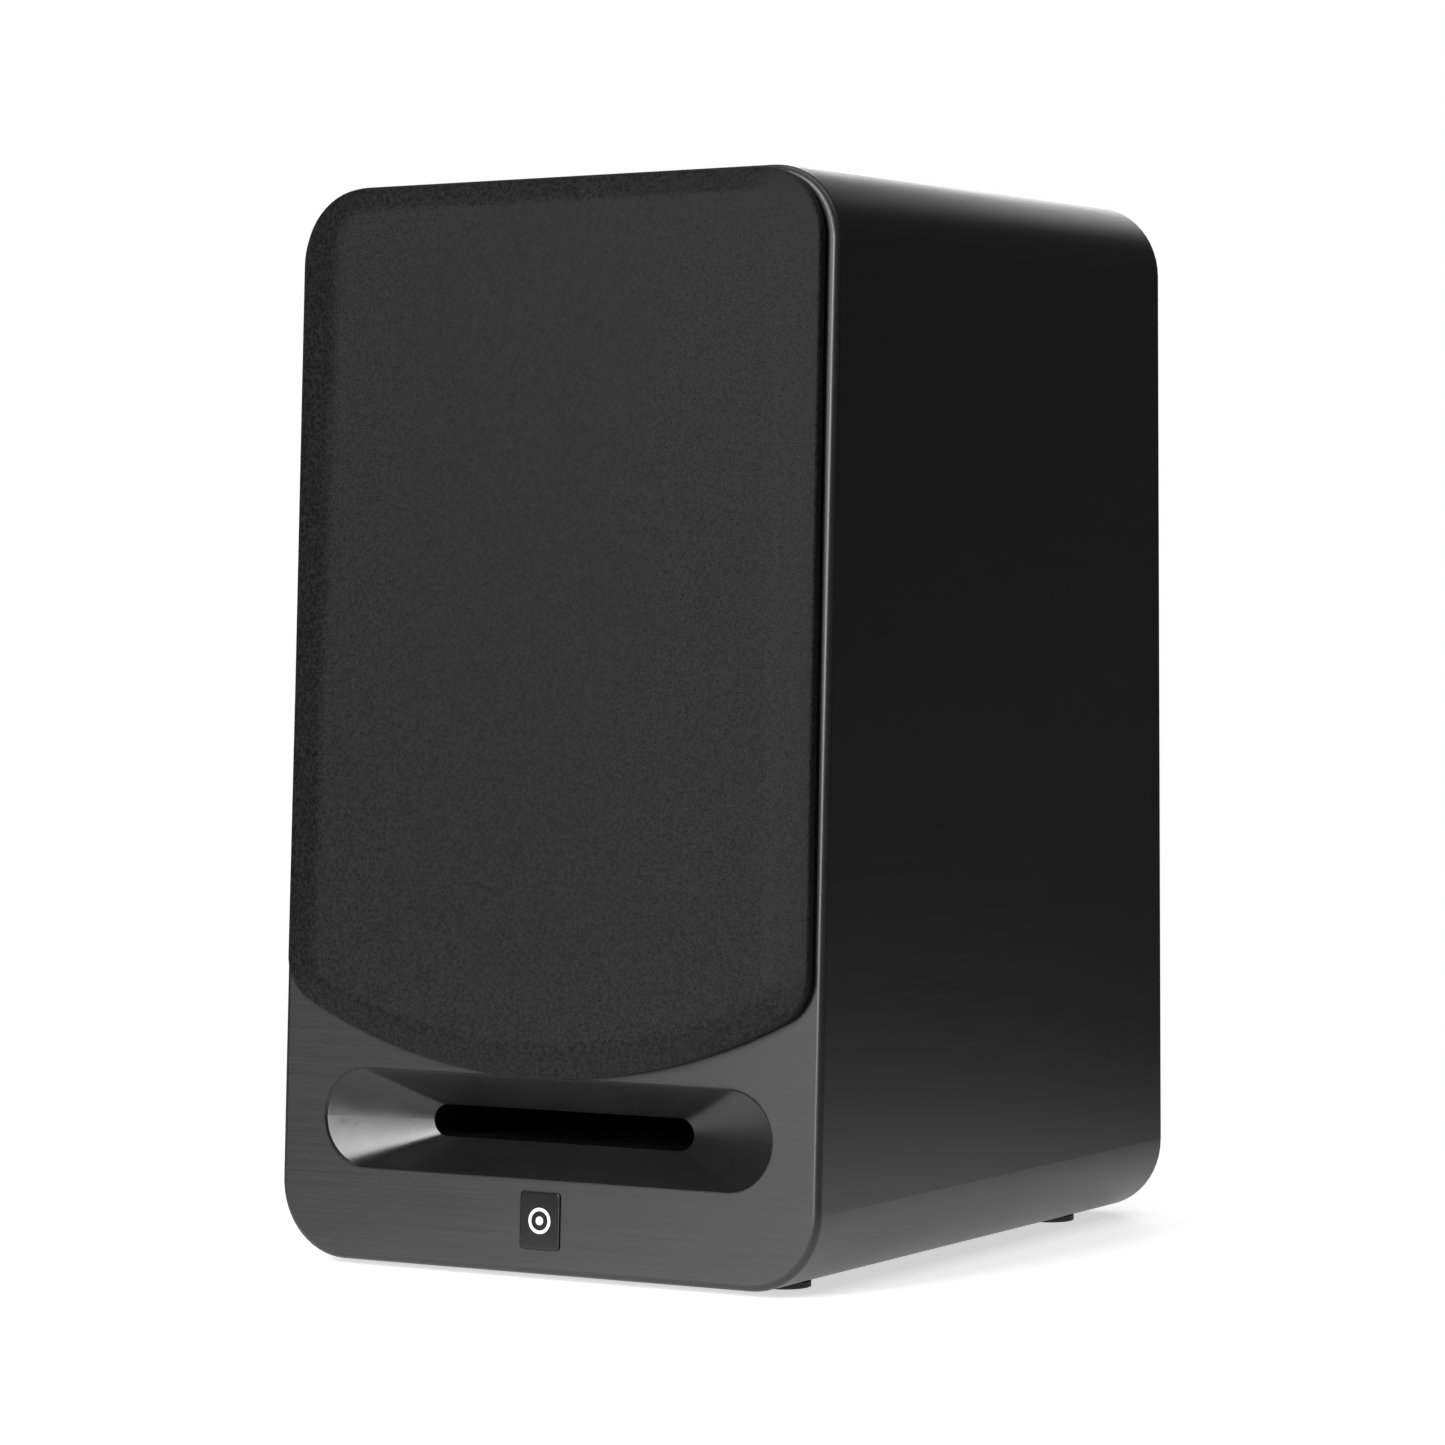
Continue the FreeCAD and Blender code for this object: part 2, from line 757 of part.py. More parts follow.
def make_port_flare():
    """The moulded mouth of the port: a wide funnel with straight walls and a crisp rim."""
    body = new_body("port_flare", on_front(level="port_level"))
    outside = new_sketch(body, "Outside")
    draw(outside, stadium("port_half_length", "port_half_height"))
    pad(body, outside, "flare_depth + flare_socket", reverse=True)
    mouth = new_sketch(body, "Mouth")
    draw(mouth, stadium("(port_half_length - port_lip)", "(port_half_height - port_lip)"))
    rim = new_sketch(body, "Rim", lift="-port_rim")
    inset = "(port_lip + port_rim)"
    draw(rim, stadium(f"(port_half_length - {inset})", f"(port_half_height - {inset})"))
    slot = new_sketch(body, "Slot", lift="-flare_depth")
    draw(slot, stadium("slot_half_length", "slot_half_height"))
    loft(body, "Subtractive", [mouth, rim, slot])
    socket = new_sketch(body, "Socket", lift="-flare_depth")
    draw(socket, stadium("(slot_half_length + duct_wall)", "(slot_half_height + duct_wall)"))
    pocket(body, socket, "flare_socket")


def make_port_duct():
    """The flat tube behind the mouth."""
    body = new_body("port_duct", on_front(level="port_level"))
    outside = new_sketch(body, "Outside", lift="-flare_depth")
    draw(outside, stadium("(slot_half_length + duct_wall)", "(slot_half_height + duct_wall)"))
    pad(body, outside, "duct_length", reverse=True)
    inside = new_sketch(body, "Inside", lift="-flare_depth")
    draw(inside, stadium("slot_half_length", "slot_half_height"))
    pocket(body, inside, "duct_length * 2", symmetric=True)


def make_badge():
    """A small plain plate in a shallow recess under the port, with a ring and a dot on it."""
    plate = new_body("badge_plate", on_front(level="badge_level"))
    outline = new_sketch(plate, "Outline", lift="-badge_recess")
    draw(outline, badge_outline("0"))
    pad(plate, outline, "badge_thickness")
    face = "badge_thickness - badge_recess"
    top = value(face)
    round_edges(plate, "badge_edge_round", lambda point: abs(point.z - top) < TOLERANCE)
    emblem = new_body("badge_emblem", on_front(level="badge_level"))
    mark = new_sketch(emblem, "Mark", lift=face)
    draw_circle(mark, "emblem_outer")
    draw_circle(mark, "emblem_inner")
    pad(emblem, mark, "emblem_relief")
    dot = new_sketch(emblem, "Dot", lift=face)
    draw_circle(dot, "emblem_dot")
    pad(emblem, dot, "emblem_relief")


# ---------------------------------------------------------------- screws


def make_screws(label, place, centres, seat):
    """Pan-head screws standing on the level seat, shanks down, with a hexagon socket each."""
    body = new_body(label, place)
    heads = new_sketch(body, "Heads", lift=seat)
    for x, y in centres:
        draw_circle(heads, "screw_head", x, y)
    pad(body, heads, "screw_head_height")
    top = value(f"{seat} + screw_head_height")
    round_edges(body, "screw_head_round", lambda point: abs(point.z - top) < TOLERANCE)
    shanks = new_sketch(body, "Shanks", lift=seat)
    for x, y in centres:
        draw_circle(shanks, "screw_shank", x, y)
    pad(body, shanks, "screw_length", reverse=True)
    drill(body, "screw_socket", centres, f"{seat} + screw_head_height", "screw_socket_depth")


# ---------------------------------------------------------------- woofer


def make_woofer_basket():
    """The pressed frame: flange, sloping wall with windows, ledge for the spider, and floor."""
    body = new_body("woofer_basket", on_front(level="woofer_level"))
    top = "-flange_top"
    under = "(-flange_top - flange_thickness)"
    revolve(
        body,
        [
            ("basket_throat", top),
            ("basket_throat", under),
            ("ledge_outer", "-ledge_depth"),
            ("ledge_inner", "-ledge_depth"),
            ("ledge_inner", "-ledge_depth - basket_sheet"),
            ("ledge_outer", "-ledge_depth - basket_sheet"),
            ("ledge_outer", "-basket_depth + basket_sheet"),
            ("plate_hole + basket_sheet", "-basket_depth + basket_sheet"),
            ("plate_hole + basket_sheet", "-basket_depth"),
            ("ledge_outer + basket_sheet", "-basket_depth"),
            ("ledge_outer + basket_sheet", "-ledge_depth"),
            ("basket_throat + basket_sheet", under),
            ("woofer_radius", under),
            ("woofer_radius", top),
        ],
    )
    window = new_sketch(body, "Window", "XZ_Plane")
    low = "(-ledge_depth + 2 * basket_sheet)"
    high = "(-flange_top - flange_thickness - 2 * basket_sheet)"
    draw(
        window,
        [
            ("-window_half_low", low),
            ("window_half_low", low),
            ("window_half_high", high),
            ("-window_half_high", high),
        ],
    )
    opening = pocket(body, window, "woofer_radius", reverse=True)
    around(body, opening, "woofer_screw_count")
    step = "180 / woofer_screw_count"
    at = (f"woofer_screw_circle * cos({step})", f"woofer_screw_circle * sin({step})")
    hole = drill(body, "screw_shank", [at], "0", "flange_top + 2 * flange_thickness")
    around(body, hole, "woofer_screw_count")


def make_woofer_surround():
    """The half roll that joins the cone's rim to the flange."""
    body = new_body("woofer_surround", on_front(level="woofer_level"))
    base = "-flange_top"
    upper = "(-flange_top + surround_sheet)"
    half = "((roll_outer - roll_inner) / 2)"
    radius = f"(({half}^2 + roll_height^2) / (2 * roll_height))"
    inner_half = f"({half} - surround_sheet)"
    inner_radius = f"(({inner_half}^2 + roll_height^2) / (2 * roll_height))"
    revolve(
        body,
        [
            ("surround_outer", base),
            ("surround_outer", upper),
            ("roll_outer", upper, f"{radius}"),
            ("roll_inner", upper),
            ("surround_inner", upper),
            ("surround_inner", base),
            ("roll_inner + surround_sheet", base, f"-{inner_radius}"),
            ("roll_outer - surround_sheet", base),
        ],
    )


def make_woofer_cone():
    body = new_body("woofer_cone", on_front(level="woofer_level"))
    rim = "-flange_top"
    under = "(-flange_top - cone_sheet)"
    revolve(
        body,
        [
            ("cone_rim", rim),
            ("surround_inner", rim, "-cone_curve"),
            ("cone_neck", "-cone_neck_depth"),
            ("cone_neck", "-cone_neck_depth - cone_sheet", "cone_curve"),
            ("surround_inner + cone_turn", under),
            ("cone_rim", under),
        ],
    )


def make_woofer_dust_cap():
    body = new_body("woofer_dust_cap", on_front(level="woofer_level"))
    sphere = "((cap_radius^2 + cap_rise^2) / (2 * cap_rise))"
    inner_rise = "(cap_rise - cap_sheet)"
    inner_radius = "(cap_radius - cap_sheet)"
    inner_sphere = f"(({inner_radius}^2 + {inner_rise}^2) / (2 * {inner_rise}))"
    revolve(
        body,
        [
            ("cap_radius", "-cap_depth", sphere),
            ("0", "-cap_depth + cap_rise"),
            ("0", "-cap_depth + cap_rise - cap_sheet", f"-{inner_sphere}"),
            ("cap_radius - cap_sheet", "-cap_depth"),
        ],
    )


def make_woofer_spider():
    """The corrugated disc that centres the coil, a row of small waves between two flats."""
    body = new_body("woofer_spider", on_front(level="woofer_level"))
    top = "(-ledge_depth + spider_sheet)"
    under = "-ledge_depth"
    waves = DIMENSIONS["spider_wave_count"]
    first = "former_outer + spider_wave / 2"
    path = [("former_outer", top)]
    for wave in range(waves):
        arc = "spider_wave_radius" if wave % 2 else "-spider_wave_radius"
        path.append((f"{first} + {wave} * spider_wave", top, arc))
    path += [(f"{first} + {waves} * spider_wave", top), ("spider_flat", top), ("spider_flat", under)]
    for wave in range(waves, 0, -1):
        arc = "spider_wave_radius" if wave % 2 else "-spider_wave_radius"
        path.append((f"{first} + {wave} * spider_wave", under, arc))
    path += [(first, under), ("former_outer", under)]
    revolve(body, path)


def make_woofer_motor():
    """Top plate, ferrite ring and yoke; the pole stands up through the ring and plate."""
    place = on_front(level="woofer_level")
    plate_low = "(-basket_depth - plate_thickness)"
    magnet_low = f"({plate_low} - magnet_ring_thickness)"
    ring("woofer_top_plate", place, "plate_radius", "plate_hole", plate_low, "-basket_depth")
    ring("woofer_magnet", place, "magnet_ring_radius", "magnet_ring_inner", magnet_low, plate_low)
    body = new_body("woofer_yoke", place)
    revolve(
        body,
        [
            ("pole_vent", f"{magnet_low} - yoke_thickness"),
            ("yoke_radius", f"{magnet_low} - yoke_thickness"),
            ("yoke_radius", magnet_low),
            ("pole_radius", magnet_low),
            ("pole_radius", "-basket_depth"),
            ("pole_vent", "-basket_depth"),
        ],
    )


def make_woofer():
    place = on_front(level="woofer_level")
    make_woofer_basket()
    make_woofer_surround()
    gasket_low = "(-flange_top + surround_sheet)"
    gasket_high = f"{gasket_low} + gasket_height"
    ring("woofer_gasket", place, "gasket_outer", "gasket_inner", gasket_low, gasket_high)
    make_woofer_cone()
    make_woofer_dust_cap()
    ring("woofer_coil_former", place, "former_outer", "former_inner", "-former_end", "-cone_neck_depth")
    coil_top = "-former_end + coil_length"
    ring("woofer_voice_coil", place, "coil_outer", "former_outer", "-former_end", coil_top)
    make_woofer_spider()
    make_woofer_motor()
    make_screws("woofer_screws", on_front(), driver_screws("woofer"), "-flange_top")


# ---------------------------------------------------------------- tweeter


def make_tweeter_faceplate():
    """A flat plate with a shallow horn round the dome."""
    body = new_body("tweeter_faceplate", on_front(level="tweeter_level"))
    revolve(
        body,
        [
            ("horn_throat", "-tweeter_plate"),
            ("tweeter_radius", "-tweeter_plate"),
            ("tweeter_radius", "0"),
            ("horn_mouth", "0", "-horn_mouth"),
            ("horn_throat", "-horn_depth"),
        ],
    )
    step = "180 / tweeter_screw_count"
    at = (f"tweeter_screw_circle * cos({step})", f"tweeter_screw_circle * sin({step})")
    hole = drill(body, "screw_shank", [at], "0", "tweeter_plate * 2")
    around(body, hole, "tweeter_screw_count")


def make_tweeter_dome():
    body = new_body("tweeter_dome", on_front(level="tweeter_level"))
    sphere = "((dome_radius^2 + dome_rise^2) / (2 * dome_rise))"
    revolve(
        body,
        [
            ("dome_radius", "-dome_seat - dome_sheet"),
            ("dome_radius", "-dome_seat", sphere),
            ("0", "-dome_seat + dome_rise"),
            ("0", "-dome_seat + dome_rise - dome_sheet", f"-{sphere}"),
        ],
    )


def make_tweeter_surround():
    """A tiny roll between the dome's rim and the faceplate's seat."""
    body = new_body("tweeter_surround", on_front(level="tweeter_level"))
    base = "(-tweeter_plate)"
    half = "((horn_throat - dome_radius) / 2)"
    radius = f"(({half}^2 + tweeter_roll^2) / (2 * tweeter_roll))"
    upper = "(-tweeter_plate + dome_sheet)"
    revolve(
        body,
        [
            ("horn_throat", base),
            ("horn_throat", upper, radius),
            ("dome_radius", upper),
            ("dome_radius", base, f"-{radius}"),
        ],
    )


def make_tweeter_motor():
    """Top plate, ferrite ring and yoke of the tweeter."""
    place = on_front(level="tweeter_level")
    top = "-tweeter_plate"
    plate_low = f"({top} - tweeter_top_plate)"
    magnet_low = f"({plate_low} - tweeter_magnet_thickness)"
    ring("tweeter_top_plate", place, "tweeter_motor_radius", "tweeter_gap_hole", plate_low, top)
    ring("tweeter_magnet", place, "tweeter_motor_radius", "tweeter_magnet_inner", magnet_low, plate_low)
    body = new_body("tweeter_yoke", place)
    revolve(
        body,
        [
            ("0", f"{magnet_low} - tweeter_yoke_plate"),
            ("tweeter_motor_radius", f"{magnet_low} - tweeter_yoke_plate"),
            ("tweeter_motor_radius", magnet_low),
            ("tweeter_pole", magnet_low),
            ("tweeter_pole", "-tweeter_plate - tweeter_pole_step"),
            ("0", "-tweeter_plate - tweeter_pole_step"),
        ],
    )


def make_tweeter():
    place = on_front(level="tweeter_level")
    make_tweeter_faceplate()
    make_tweeter_dome()
    make_tweeter_surround()
    low = "-tweeter_coil_end"
    ring("tweeter_voice_coil", place, "dome_radius", "tweeter_coil_inner", low, "-dome_seat - dome_sheet")
    make_tweeter_motor()
    make_screws("tweeter_screws", on_front(), driver_screws("tweeter"), "0")


# ---------------------------------------------------------------- terminals


CUP_FLOOR = "(-rear_inset - cup_depth)"
COLLAR_TOP = f"({CUP_FLOOR} + collar_height)"
WASHER_TOP = f"({COLLAR_TOP} + washer_height)"
NUT_END = f"({WASHER_TOP} + nut_length)"


def make_terminal_cup():
    """A recessed cup screwed to the rear panel."""
    body = new_body("terminal_cup", on_back(level="terminal_level"))
    flange = new_sketch(body, "Flange", lift="-rear_inset")
    draw(flange, centred_rectangle("terminal_width", "terminal_height", "terminal_round"))
    pad(body, flange, "terminal_flange")
    outer = new_sketch(body, "Cup", lift="-rear_inset")
    draw(outer, cup_outline())
    pad(body, outer, "cup_depth + cup_wall", reverse=True)
    recess = new_sketch(body, "Recess", lift="0")
    draw(recess, centred_rectangle("cup_width", "cup_height", "cup_round"))
    pocket(body, recess, "rear_inset + cup_depth")
    drill(body, "stud_radius", posts_at(), CUP_FLOOR, "cup_wall * 2")
    corners = four_corners("terminal_screw_x", "terminal_screw_y")
    drill(body, "screw_shank", corners, "0", "terminal_flange * 3")


def posts_at():
    return [("post_spacing / 2", "0"), ("-post_spacing / 2", "0")]


def make_studs():
    """Threaded studs, bored for a 4 mm plug, with a hexagon nut each on the inside."""
    place = on_back(level="terminal_level")
    low = f"({CUP_FLOOR} - cup_wall - stud_tail)"
    end = f"({NUT_END} - stud_set_back)"
    body = discs("terminal_studs", place, "stud_radius", low, f"{end} - {low}", posts_at())
    drill(body, "banana_radius", posts_at(), end, "banana_length")
    nuts = new_body("terminal_hex_nuts", place)
    for x, y in posts_at():
        sketch = new_sketch(nuts, "Hexagon", lift=f"{CUP_FLOOR} - cup_wall - hex_nut_height")
        corners = [
            (f"{x} + hex_nut_radius * cos({angle})", f"hex_nut_radius * sin({angle})")
            for angle in range(0, 360, 60)
        ]
        draw(sketch, corners)
        draw_circle(sketch, "stud_radius", x, y)
        pad(nuts, sketch, "hex_nut_height")


def make_post(colour, x):
    """Collar, clamping washer and hand nut of one binding post."""
    place = on_back(x, "terminal_level")
    bore = "stud_radius + post_fit"
    ring(f"{colour}_collar", place, "collar_radius", "stud_radius", CUP_FLOOR, COLLAR_TOP)
    ring(f"{colour}_washer", place, "washer_radius", bore, COLLAR_TOP, WASHER_TOP)
    nut = ring(f"{colour}_nut", place, "nut_radius", bore, WASHER_TOP, NUT_END)
    end = value(NUT_END)
    edge = value("nut_radius")

    def on_rim(point):
        return abs(point.z - end) < TOLERANCE and math.hypot(point.x, point.y) > edge - TOLERANCE

    round_edges(nut, "nut_round", on_rim)
    flute_length = "nut_length - nut_collar"
    flute = drill(nut, "flute_radius", [("nut_radius + flute_outset", "0")], NUT_END, flute_length)
    around(nut, flute, "nut_flutes")


def make_terminals():
    make_terminal_cup()
    make_studs()
    make_post("red", "-post_spacing / 2")
    make_post("black", "post_spacing / 2")
    centres = four_corners("terminal_screw_x", "terminal_screw_y")
    place = on_back(level="terminal_level")
    make_screws("terminal_screws", place, centres, "-rear_inset + terminal_flange")


# ---------------------------------------------------------------- crossover


BOARD_BACK = "(-rear_inset - wall - standoff_height)"
BOARD_FACE = f"({BOARD_BACK} - board_thickness)"


def make_crossover():
    """The filter board on standoffs, with its coils, capacitors and resistors."""
    place = on_back(level="board_level")
    board = new_body("crossover_board", place)
    outline = new_sketch(board, "Outline", lift=BOARD_FACE)
    draw(outline, centred_rectangle("board_width", "board_height", "board_round"))
    pad(board, outline, "board_thickness")
    holes = four_corners("board_hole_x", "board_hole_y")
    through = f"-2 * {BOARD_FACE}"
    drill(board, "board_screw_shank", holes, "0", through)

    standoffs = discs("board_standoffs", place, "standoff_radius", BOARD_BACK, "standoff_height", holes)
    drill(standoffs, "board_screw_shank", holes, "0", through)

    screws = new_body("board_screws", place)
    heads = new_sketch(screws, "Heads", lift=BOARD_FACE)
    shanks = new_sketch(screws, "Shanks", lift=BOARD_FACE)
    for x, y in holes:
        draw_circle(heads, "board_screw_head", x, y)
        draw_circle(shanks, "board_screw_shank", x, y)
    pad(screws, heads, "screw_head_height", reverse=True)
    pad(screws, shanks, "screw_length")

    left, low = -value("inductor_x"), -value("inductor_y")
    upright = FreeCAD.Placement(FreeCAD.Vector(left, low, 0), FreeCAD.Rotation())
    coil_low = f"({BOARD_FACE} - woofer_coil_height)"
    standing = place.multiply(upright)
    ring("woofer_inductor", standing, "woofer_coil_radius", "woofer_coil_core", coil_low, BOARD_FACE)

    axis_depth = value(f"{BOARD_FACE} - tweeter_coil_radius")
    lying = FreeCAD.Placement(FreeCAD.Vector(-left, low, axis_depth), FreeCAD.Rotation(X_AXIS, 90))
    half = "tweeter_coil_height / 2"
    flat = place.multiply(lying)
    ring("tweeter_inductor", flat, "tweeter_coil_radius", "tweeter_coil_core", f"-{half}", half)

    capacitors = new_body("capacitors", place)
    ends = new_sketch(capacitors, "Ends", "YZ_Plane", lift="-capacitor_x")
    for row in ("capacitor_high", "capacitor_low"):
        draw_circle(ends, "capacitor_radius", row, f"{BOARD_FACE} - capacitor_radius")
    pad(capacitors, ends, "capacitor_length")

    resistors = new_body("resistors", place)
    block = new_sketch(resistors, "Blocks", lift=f"{BOARD_FACE} - resistor_side")
    ends = ("resistor_x", "resistor_x + resistor_length")
    for row in ("resistor_high", "resistor_low"):
        draw(block, rounded_rectangle(*ends, row, f"{row} + resistor_side", "resistor_round"))
    pad(resistors, block, "resistor_side")


# ---------------------------------------------------------------- leads and wadding


def lead(points, radius):
    """A round lead along straight runs joined by arcs as large as the runs allow."""
    path = []
    at = points[0]
    for before, corner, after in zip(points, points[1:], points[2:]):
        arriving = corner.sub(before)
        leaving = after.sub(corner)
        cut = LEAD_BEND_SHARE * min(arriving.Length, leaving.Length)
        arriving.normalize()
        leaving.normalize()
        start = corner.sub(arriving * cut)
        end = corner.add(leaving * cut)
        bisector = leaving.sub(arriving).normalize()
        turn = arriving.getAngle(leaving)
        bend = cut / math.tan(turn / 2)
        middle = corner.add(bisector * (bend / math.cos(turn / 2) - bend))
        path.append(Part.LineSegment(at, start).toShape())
        path.append(Part.Arc(start, middle, end).toShape())
        at = end
    path.append(Part.LineSegment(at, points[-1]).toShape())
    spine = Part.Wire(path)
    heading = points[1].sub(points[0])
    section = Part.Wire(Part.makeCircle(radius, points[0], heading))
    tube = spine.makePipeShell([section], True, False)
    expected = math.pi * radius * radius * spine.Length
    if abs(tube.Volume - expected) > LEAD_VOLUME_TOLERANCE * expected:
        raise RuntimeError("a lead's tube does not have the volume of its path")
    return tube


def make_leads(label, routes):
    """One node for the leads of a pair, each a tube along its own route in the row frame."""
    tubes = [lead([FreeCAD.Vector(*point) for point in route], value("lead_radius")) for route in routes]
    feature = doc.addObject("Part::Feature", label)
    feature.Label = label
    feature.Shape = Part.makeCompound(tubes)
    feature.Placement = FreeCAD.Placement()
    SUBPARTS.append(feature)


WOOFER_TAG_DEPTH = "(-basket_depth + tag_height)"
TWEETER_TAG_DEPTH = (
    "(-tweeter_plate - tweeter_top_plate - tweeter_magnet_thickness - tweeter_yoke_plate - tag_height)"
)


def make_wiring():
    """Terminal cup to board, board to woofer, and board to tweeter."""
    back = value(BACK)
    face = back + value(BOARD_FACE)
    stud = back + value(f"{CUP_FLOOR} - cup_wall - stud_tail")
    foot = value("foot_height")
    terminal = value("terminal_level") + foot
    board_low = foot + value("board_level - board_height / 2")
    half = value("post_spacing") / 2
    edge = face - value("lead_radius")
    make_leads(
        "input_leads",
        [
            [(x, stud, terminal), (x, stud - 12, terminal), (x, stud - 16, terminal + 14),
             (x, edge - 7, board_low - 8), (x, edge, board_low + 2), (x, edge, board_low + 10)]
            for x in (half, -half)
        ],
    )
    lug = value("tag_lug_x")
    woofer = on_front(level="woofer_level")
    below = -value("ledge_outer + basket_sheet + tag_width / 2")
    tags = [woofer.multVec(FreeCAD.Vector(x, below, value(WOOFER_TAG_DEPTH))) for x in (lug, -lug)]
    make_leads(
        "woofer_leads",
        [
            [(x, edge, board_low + 8), (x, edge - 12, board_low + 4), (x, edge - 26, board_low - 8),
             (x, edge - 60, tag.z + 6), (tag.x, tag.y + 62, tag.z - 5), (tag.x, tag.y + 26, tag.z - 4),
             (tag.x, tag.y + 9, tag.z - 0.5), (tag.x, tag.y, tag.z)]
            for x, tag in zip((3, -3), tags)
        ],
    )
    tweeter = on_front(level="tweeter_level")
    lug_y = -value("tweeter_tag_below + tag_width / 2")
    lugs = [tweeter.multVec(FreeCAD.Vector(x, lug_y, value(TWEETER_TAG_DEPTH))) for x in (lug, -lug)]
    board_high = foot + value("board_level + board_height / 2")
    make_leads(
        "tweeter_leads",
        [
            [(x, edge, board_high - 6), (x, edge - 10, board_high - 2), (x, edge - 30, board_high + 8),
             (x, edge - 62, board_high + 12), ((x + end.x) / 2, end.y + 52, board_high + 18),
             (end.x, end.y + 24, end.z - 2), (end.x, end.y + 9, end.z - 0.5), (end.x, end.y, end.z)]
            for x, end in zip((-30, -36), lugs)
        ],
    )


def make_tag_strips():
    """The blocks that the leads are soldered to: under the woofer's basket, behind the tweeter."""
    woofer = new_body("woofer_tag_strip", on_front(level="woofer_level"))
    strip = new_sketch(woofer, "Strip", lift=WOOFER_TAG_DEPTH)
    outer = "(ledge_outer + basket_sheet)"
    across = ("-tag_length / 2", "tag_length / 2")
    draw(strip, rounded_rectangle(*across, f"-{outer} - tag_width", f"-{outer}", "tag_round"))
    pad(woofer, strip, "tag_height")
    tweeter = new_body("tweeter_tag_strip", on_front(level="tweeter_level"))
    strip = new_sketch(tweeter, "Strip", lift=TWEETER_TAG_DEPTH)
    low, high = "-tweeter_tag_below - tag_width", "-tweeter_tag_below"
    draw(strip, rounded_rectangle(*across, low, high, "tag_round"))
    pad(tweeter, strip, "tag_height")


def make_wadding():
    """A block of soft filling under the top, behind the tweeter."""
    top = "cabinet_height - wall"
    body = new_body("damping_wadding", in_row(y="wadding_back", z=f"{top} - wadding_thickness"))
    outline = new_sketch(body, "Outline")
    draw(outline, centred_rectangle("wadding_width", "wadding_depth", "wadding_round"))
    pad(body, outline, "wadding_thickness")


# ---------------------------------------------------------------- assembly


def check_and_export():
    """Stop on any failed object or bad solid, then write one STEP file for each sub-part."""
    doc.recompute()
    failed = [item.Name for item in doc.Objects if "Invalid" in item.State or "Error" in item.State]
    if failed:
        raise RuntimeError(f"these objects failed: {failed}")
    for item in SUBPARTS:
        if item.Shape.isNull() or not item.Shape.isValid() or not item.Shape.Solids:
            raise RuntimeError(f"{item.Label} has no valid solid")
    os.makedirs("parts", exist_ok=True)
    for item in SUBPARTS:
        item.Shape.exportStep(f"parts/{item.Label}.step")
        box = item.Shape.BoundBox
        print(f"{item.Label}: {len(item.Shape.Solids)} solid(s), {item.Shape.Volume / 1000:.2f} cm3")
        print(f"    x {box.XMin:.1f} {box.XMax:.1f}, y {box.YMin:.1f} {box.YMax:.1f}")
        print(f"    z {box.ZMin:.1f} {box.ZMax:.1f}")


make_cabinet_shell()
make_front_baffle()
make_rear_panel()
make_feet()
make_grille_cloth()
make_grille_frame()
make_magnets()
make_port_flare()
make_port_duct()
make_badge()
make_woofer()
make_tweeter()
make_terminals()
make_crossover()
make_tag_strips()
make_wiring()
make_wadding()
check_and_export()
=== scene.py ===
import json
import math

import bpy
import numpy as np
from mathutils import Euler, Matrix, Vector, noise


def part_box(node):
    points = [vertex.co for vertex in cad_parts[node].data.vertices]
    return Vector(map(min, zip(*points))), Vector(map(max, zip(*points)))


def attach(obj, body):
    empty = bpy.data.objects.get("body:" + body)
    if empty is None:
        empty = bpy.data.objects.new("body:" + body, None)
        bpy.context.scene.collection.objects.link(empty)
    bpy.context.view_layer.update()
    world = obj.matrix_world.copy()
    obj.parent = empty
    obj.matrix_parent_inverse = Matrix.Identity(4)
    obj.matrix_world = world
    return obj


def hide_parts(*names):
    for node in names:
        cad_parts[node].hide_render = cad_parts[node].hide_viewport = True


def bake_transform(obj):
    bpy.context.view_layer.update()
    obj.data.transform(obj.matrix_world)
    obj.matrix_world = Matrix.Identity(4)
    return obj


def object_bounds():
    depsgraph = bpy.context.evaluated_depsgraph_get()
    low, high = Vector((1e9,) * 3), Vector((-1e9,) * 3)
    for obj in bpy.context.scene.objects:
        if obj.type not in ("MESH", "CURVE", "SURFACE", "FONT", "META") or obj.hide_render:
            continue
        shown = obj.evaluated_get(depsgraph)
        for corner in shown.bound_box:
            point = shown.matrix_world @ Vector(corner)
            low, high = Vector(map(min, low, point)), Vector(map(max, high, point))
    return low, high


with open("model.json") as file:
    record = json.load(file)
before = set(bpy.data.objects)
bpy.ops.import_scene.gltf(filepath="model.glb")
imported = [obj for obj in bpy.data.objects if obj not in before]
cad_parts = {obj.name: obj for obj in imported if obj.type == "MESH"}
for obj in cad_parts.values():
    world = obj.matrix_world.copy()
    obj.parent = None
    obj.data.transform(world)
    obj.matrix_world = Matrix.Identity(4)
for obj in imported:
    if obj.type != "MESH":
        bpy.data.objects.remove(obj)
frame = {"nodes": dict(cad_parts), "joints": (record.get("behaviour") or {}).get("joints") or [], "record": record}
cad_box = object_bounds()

NODES = frame["nodes"]
LOW, HIGH = cad_box
CENTRE = (LOW + HIGH) / 2

PULL = next(joint for joint in frame["joints"] if joint["name"] == "grille_pull")
OUT = Vector(PULL["axis"]).normalized()
ACROSS = Vector((1, 0, 0))
UP = OUT.cross(ACROSS)
FRONT_AXES = np.array([ACROSS, UP, OUT])

# Camera: bearing to the right of straight ahead, dip and tilt in degrees, distance from the object's
# middle, how far beside and above the middle it aims, and lens and sensor in millimetres
BEARING = 31.227
DIP = 1.697
TILT = -0.338
DISTANCE = 1.4252
AIM_RIGHT = -0.00194
AIM_UP = -0.0013
LENS = 121.18
SENSOR = 36.0
NEAREST_SEEN = 0.05

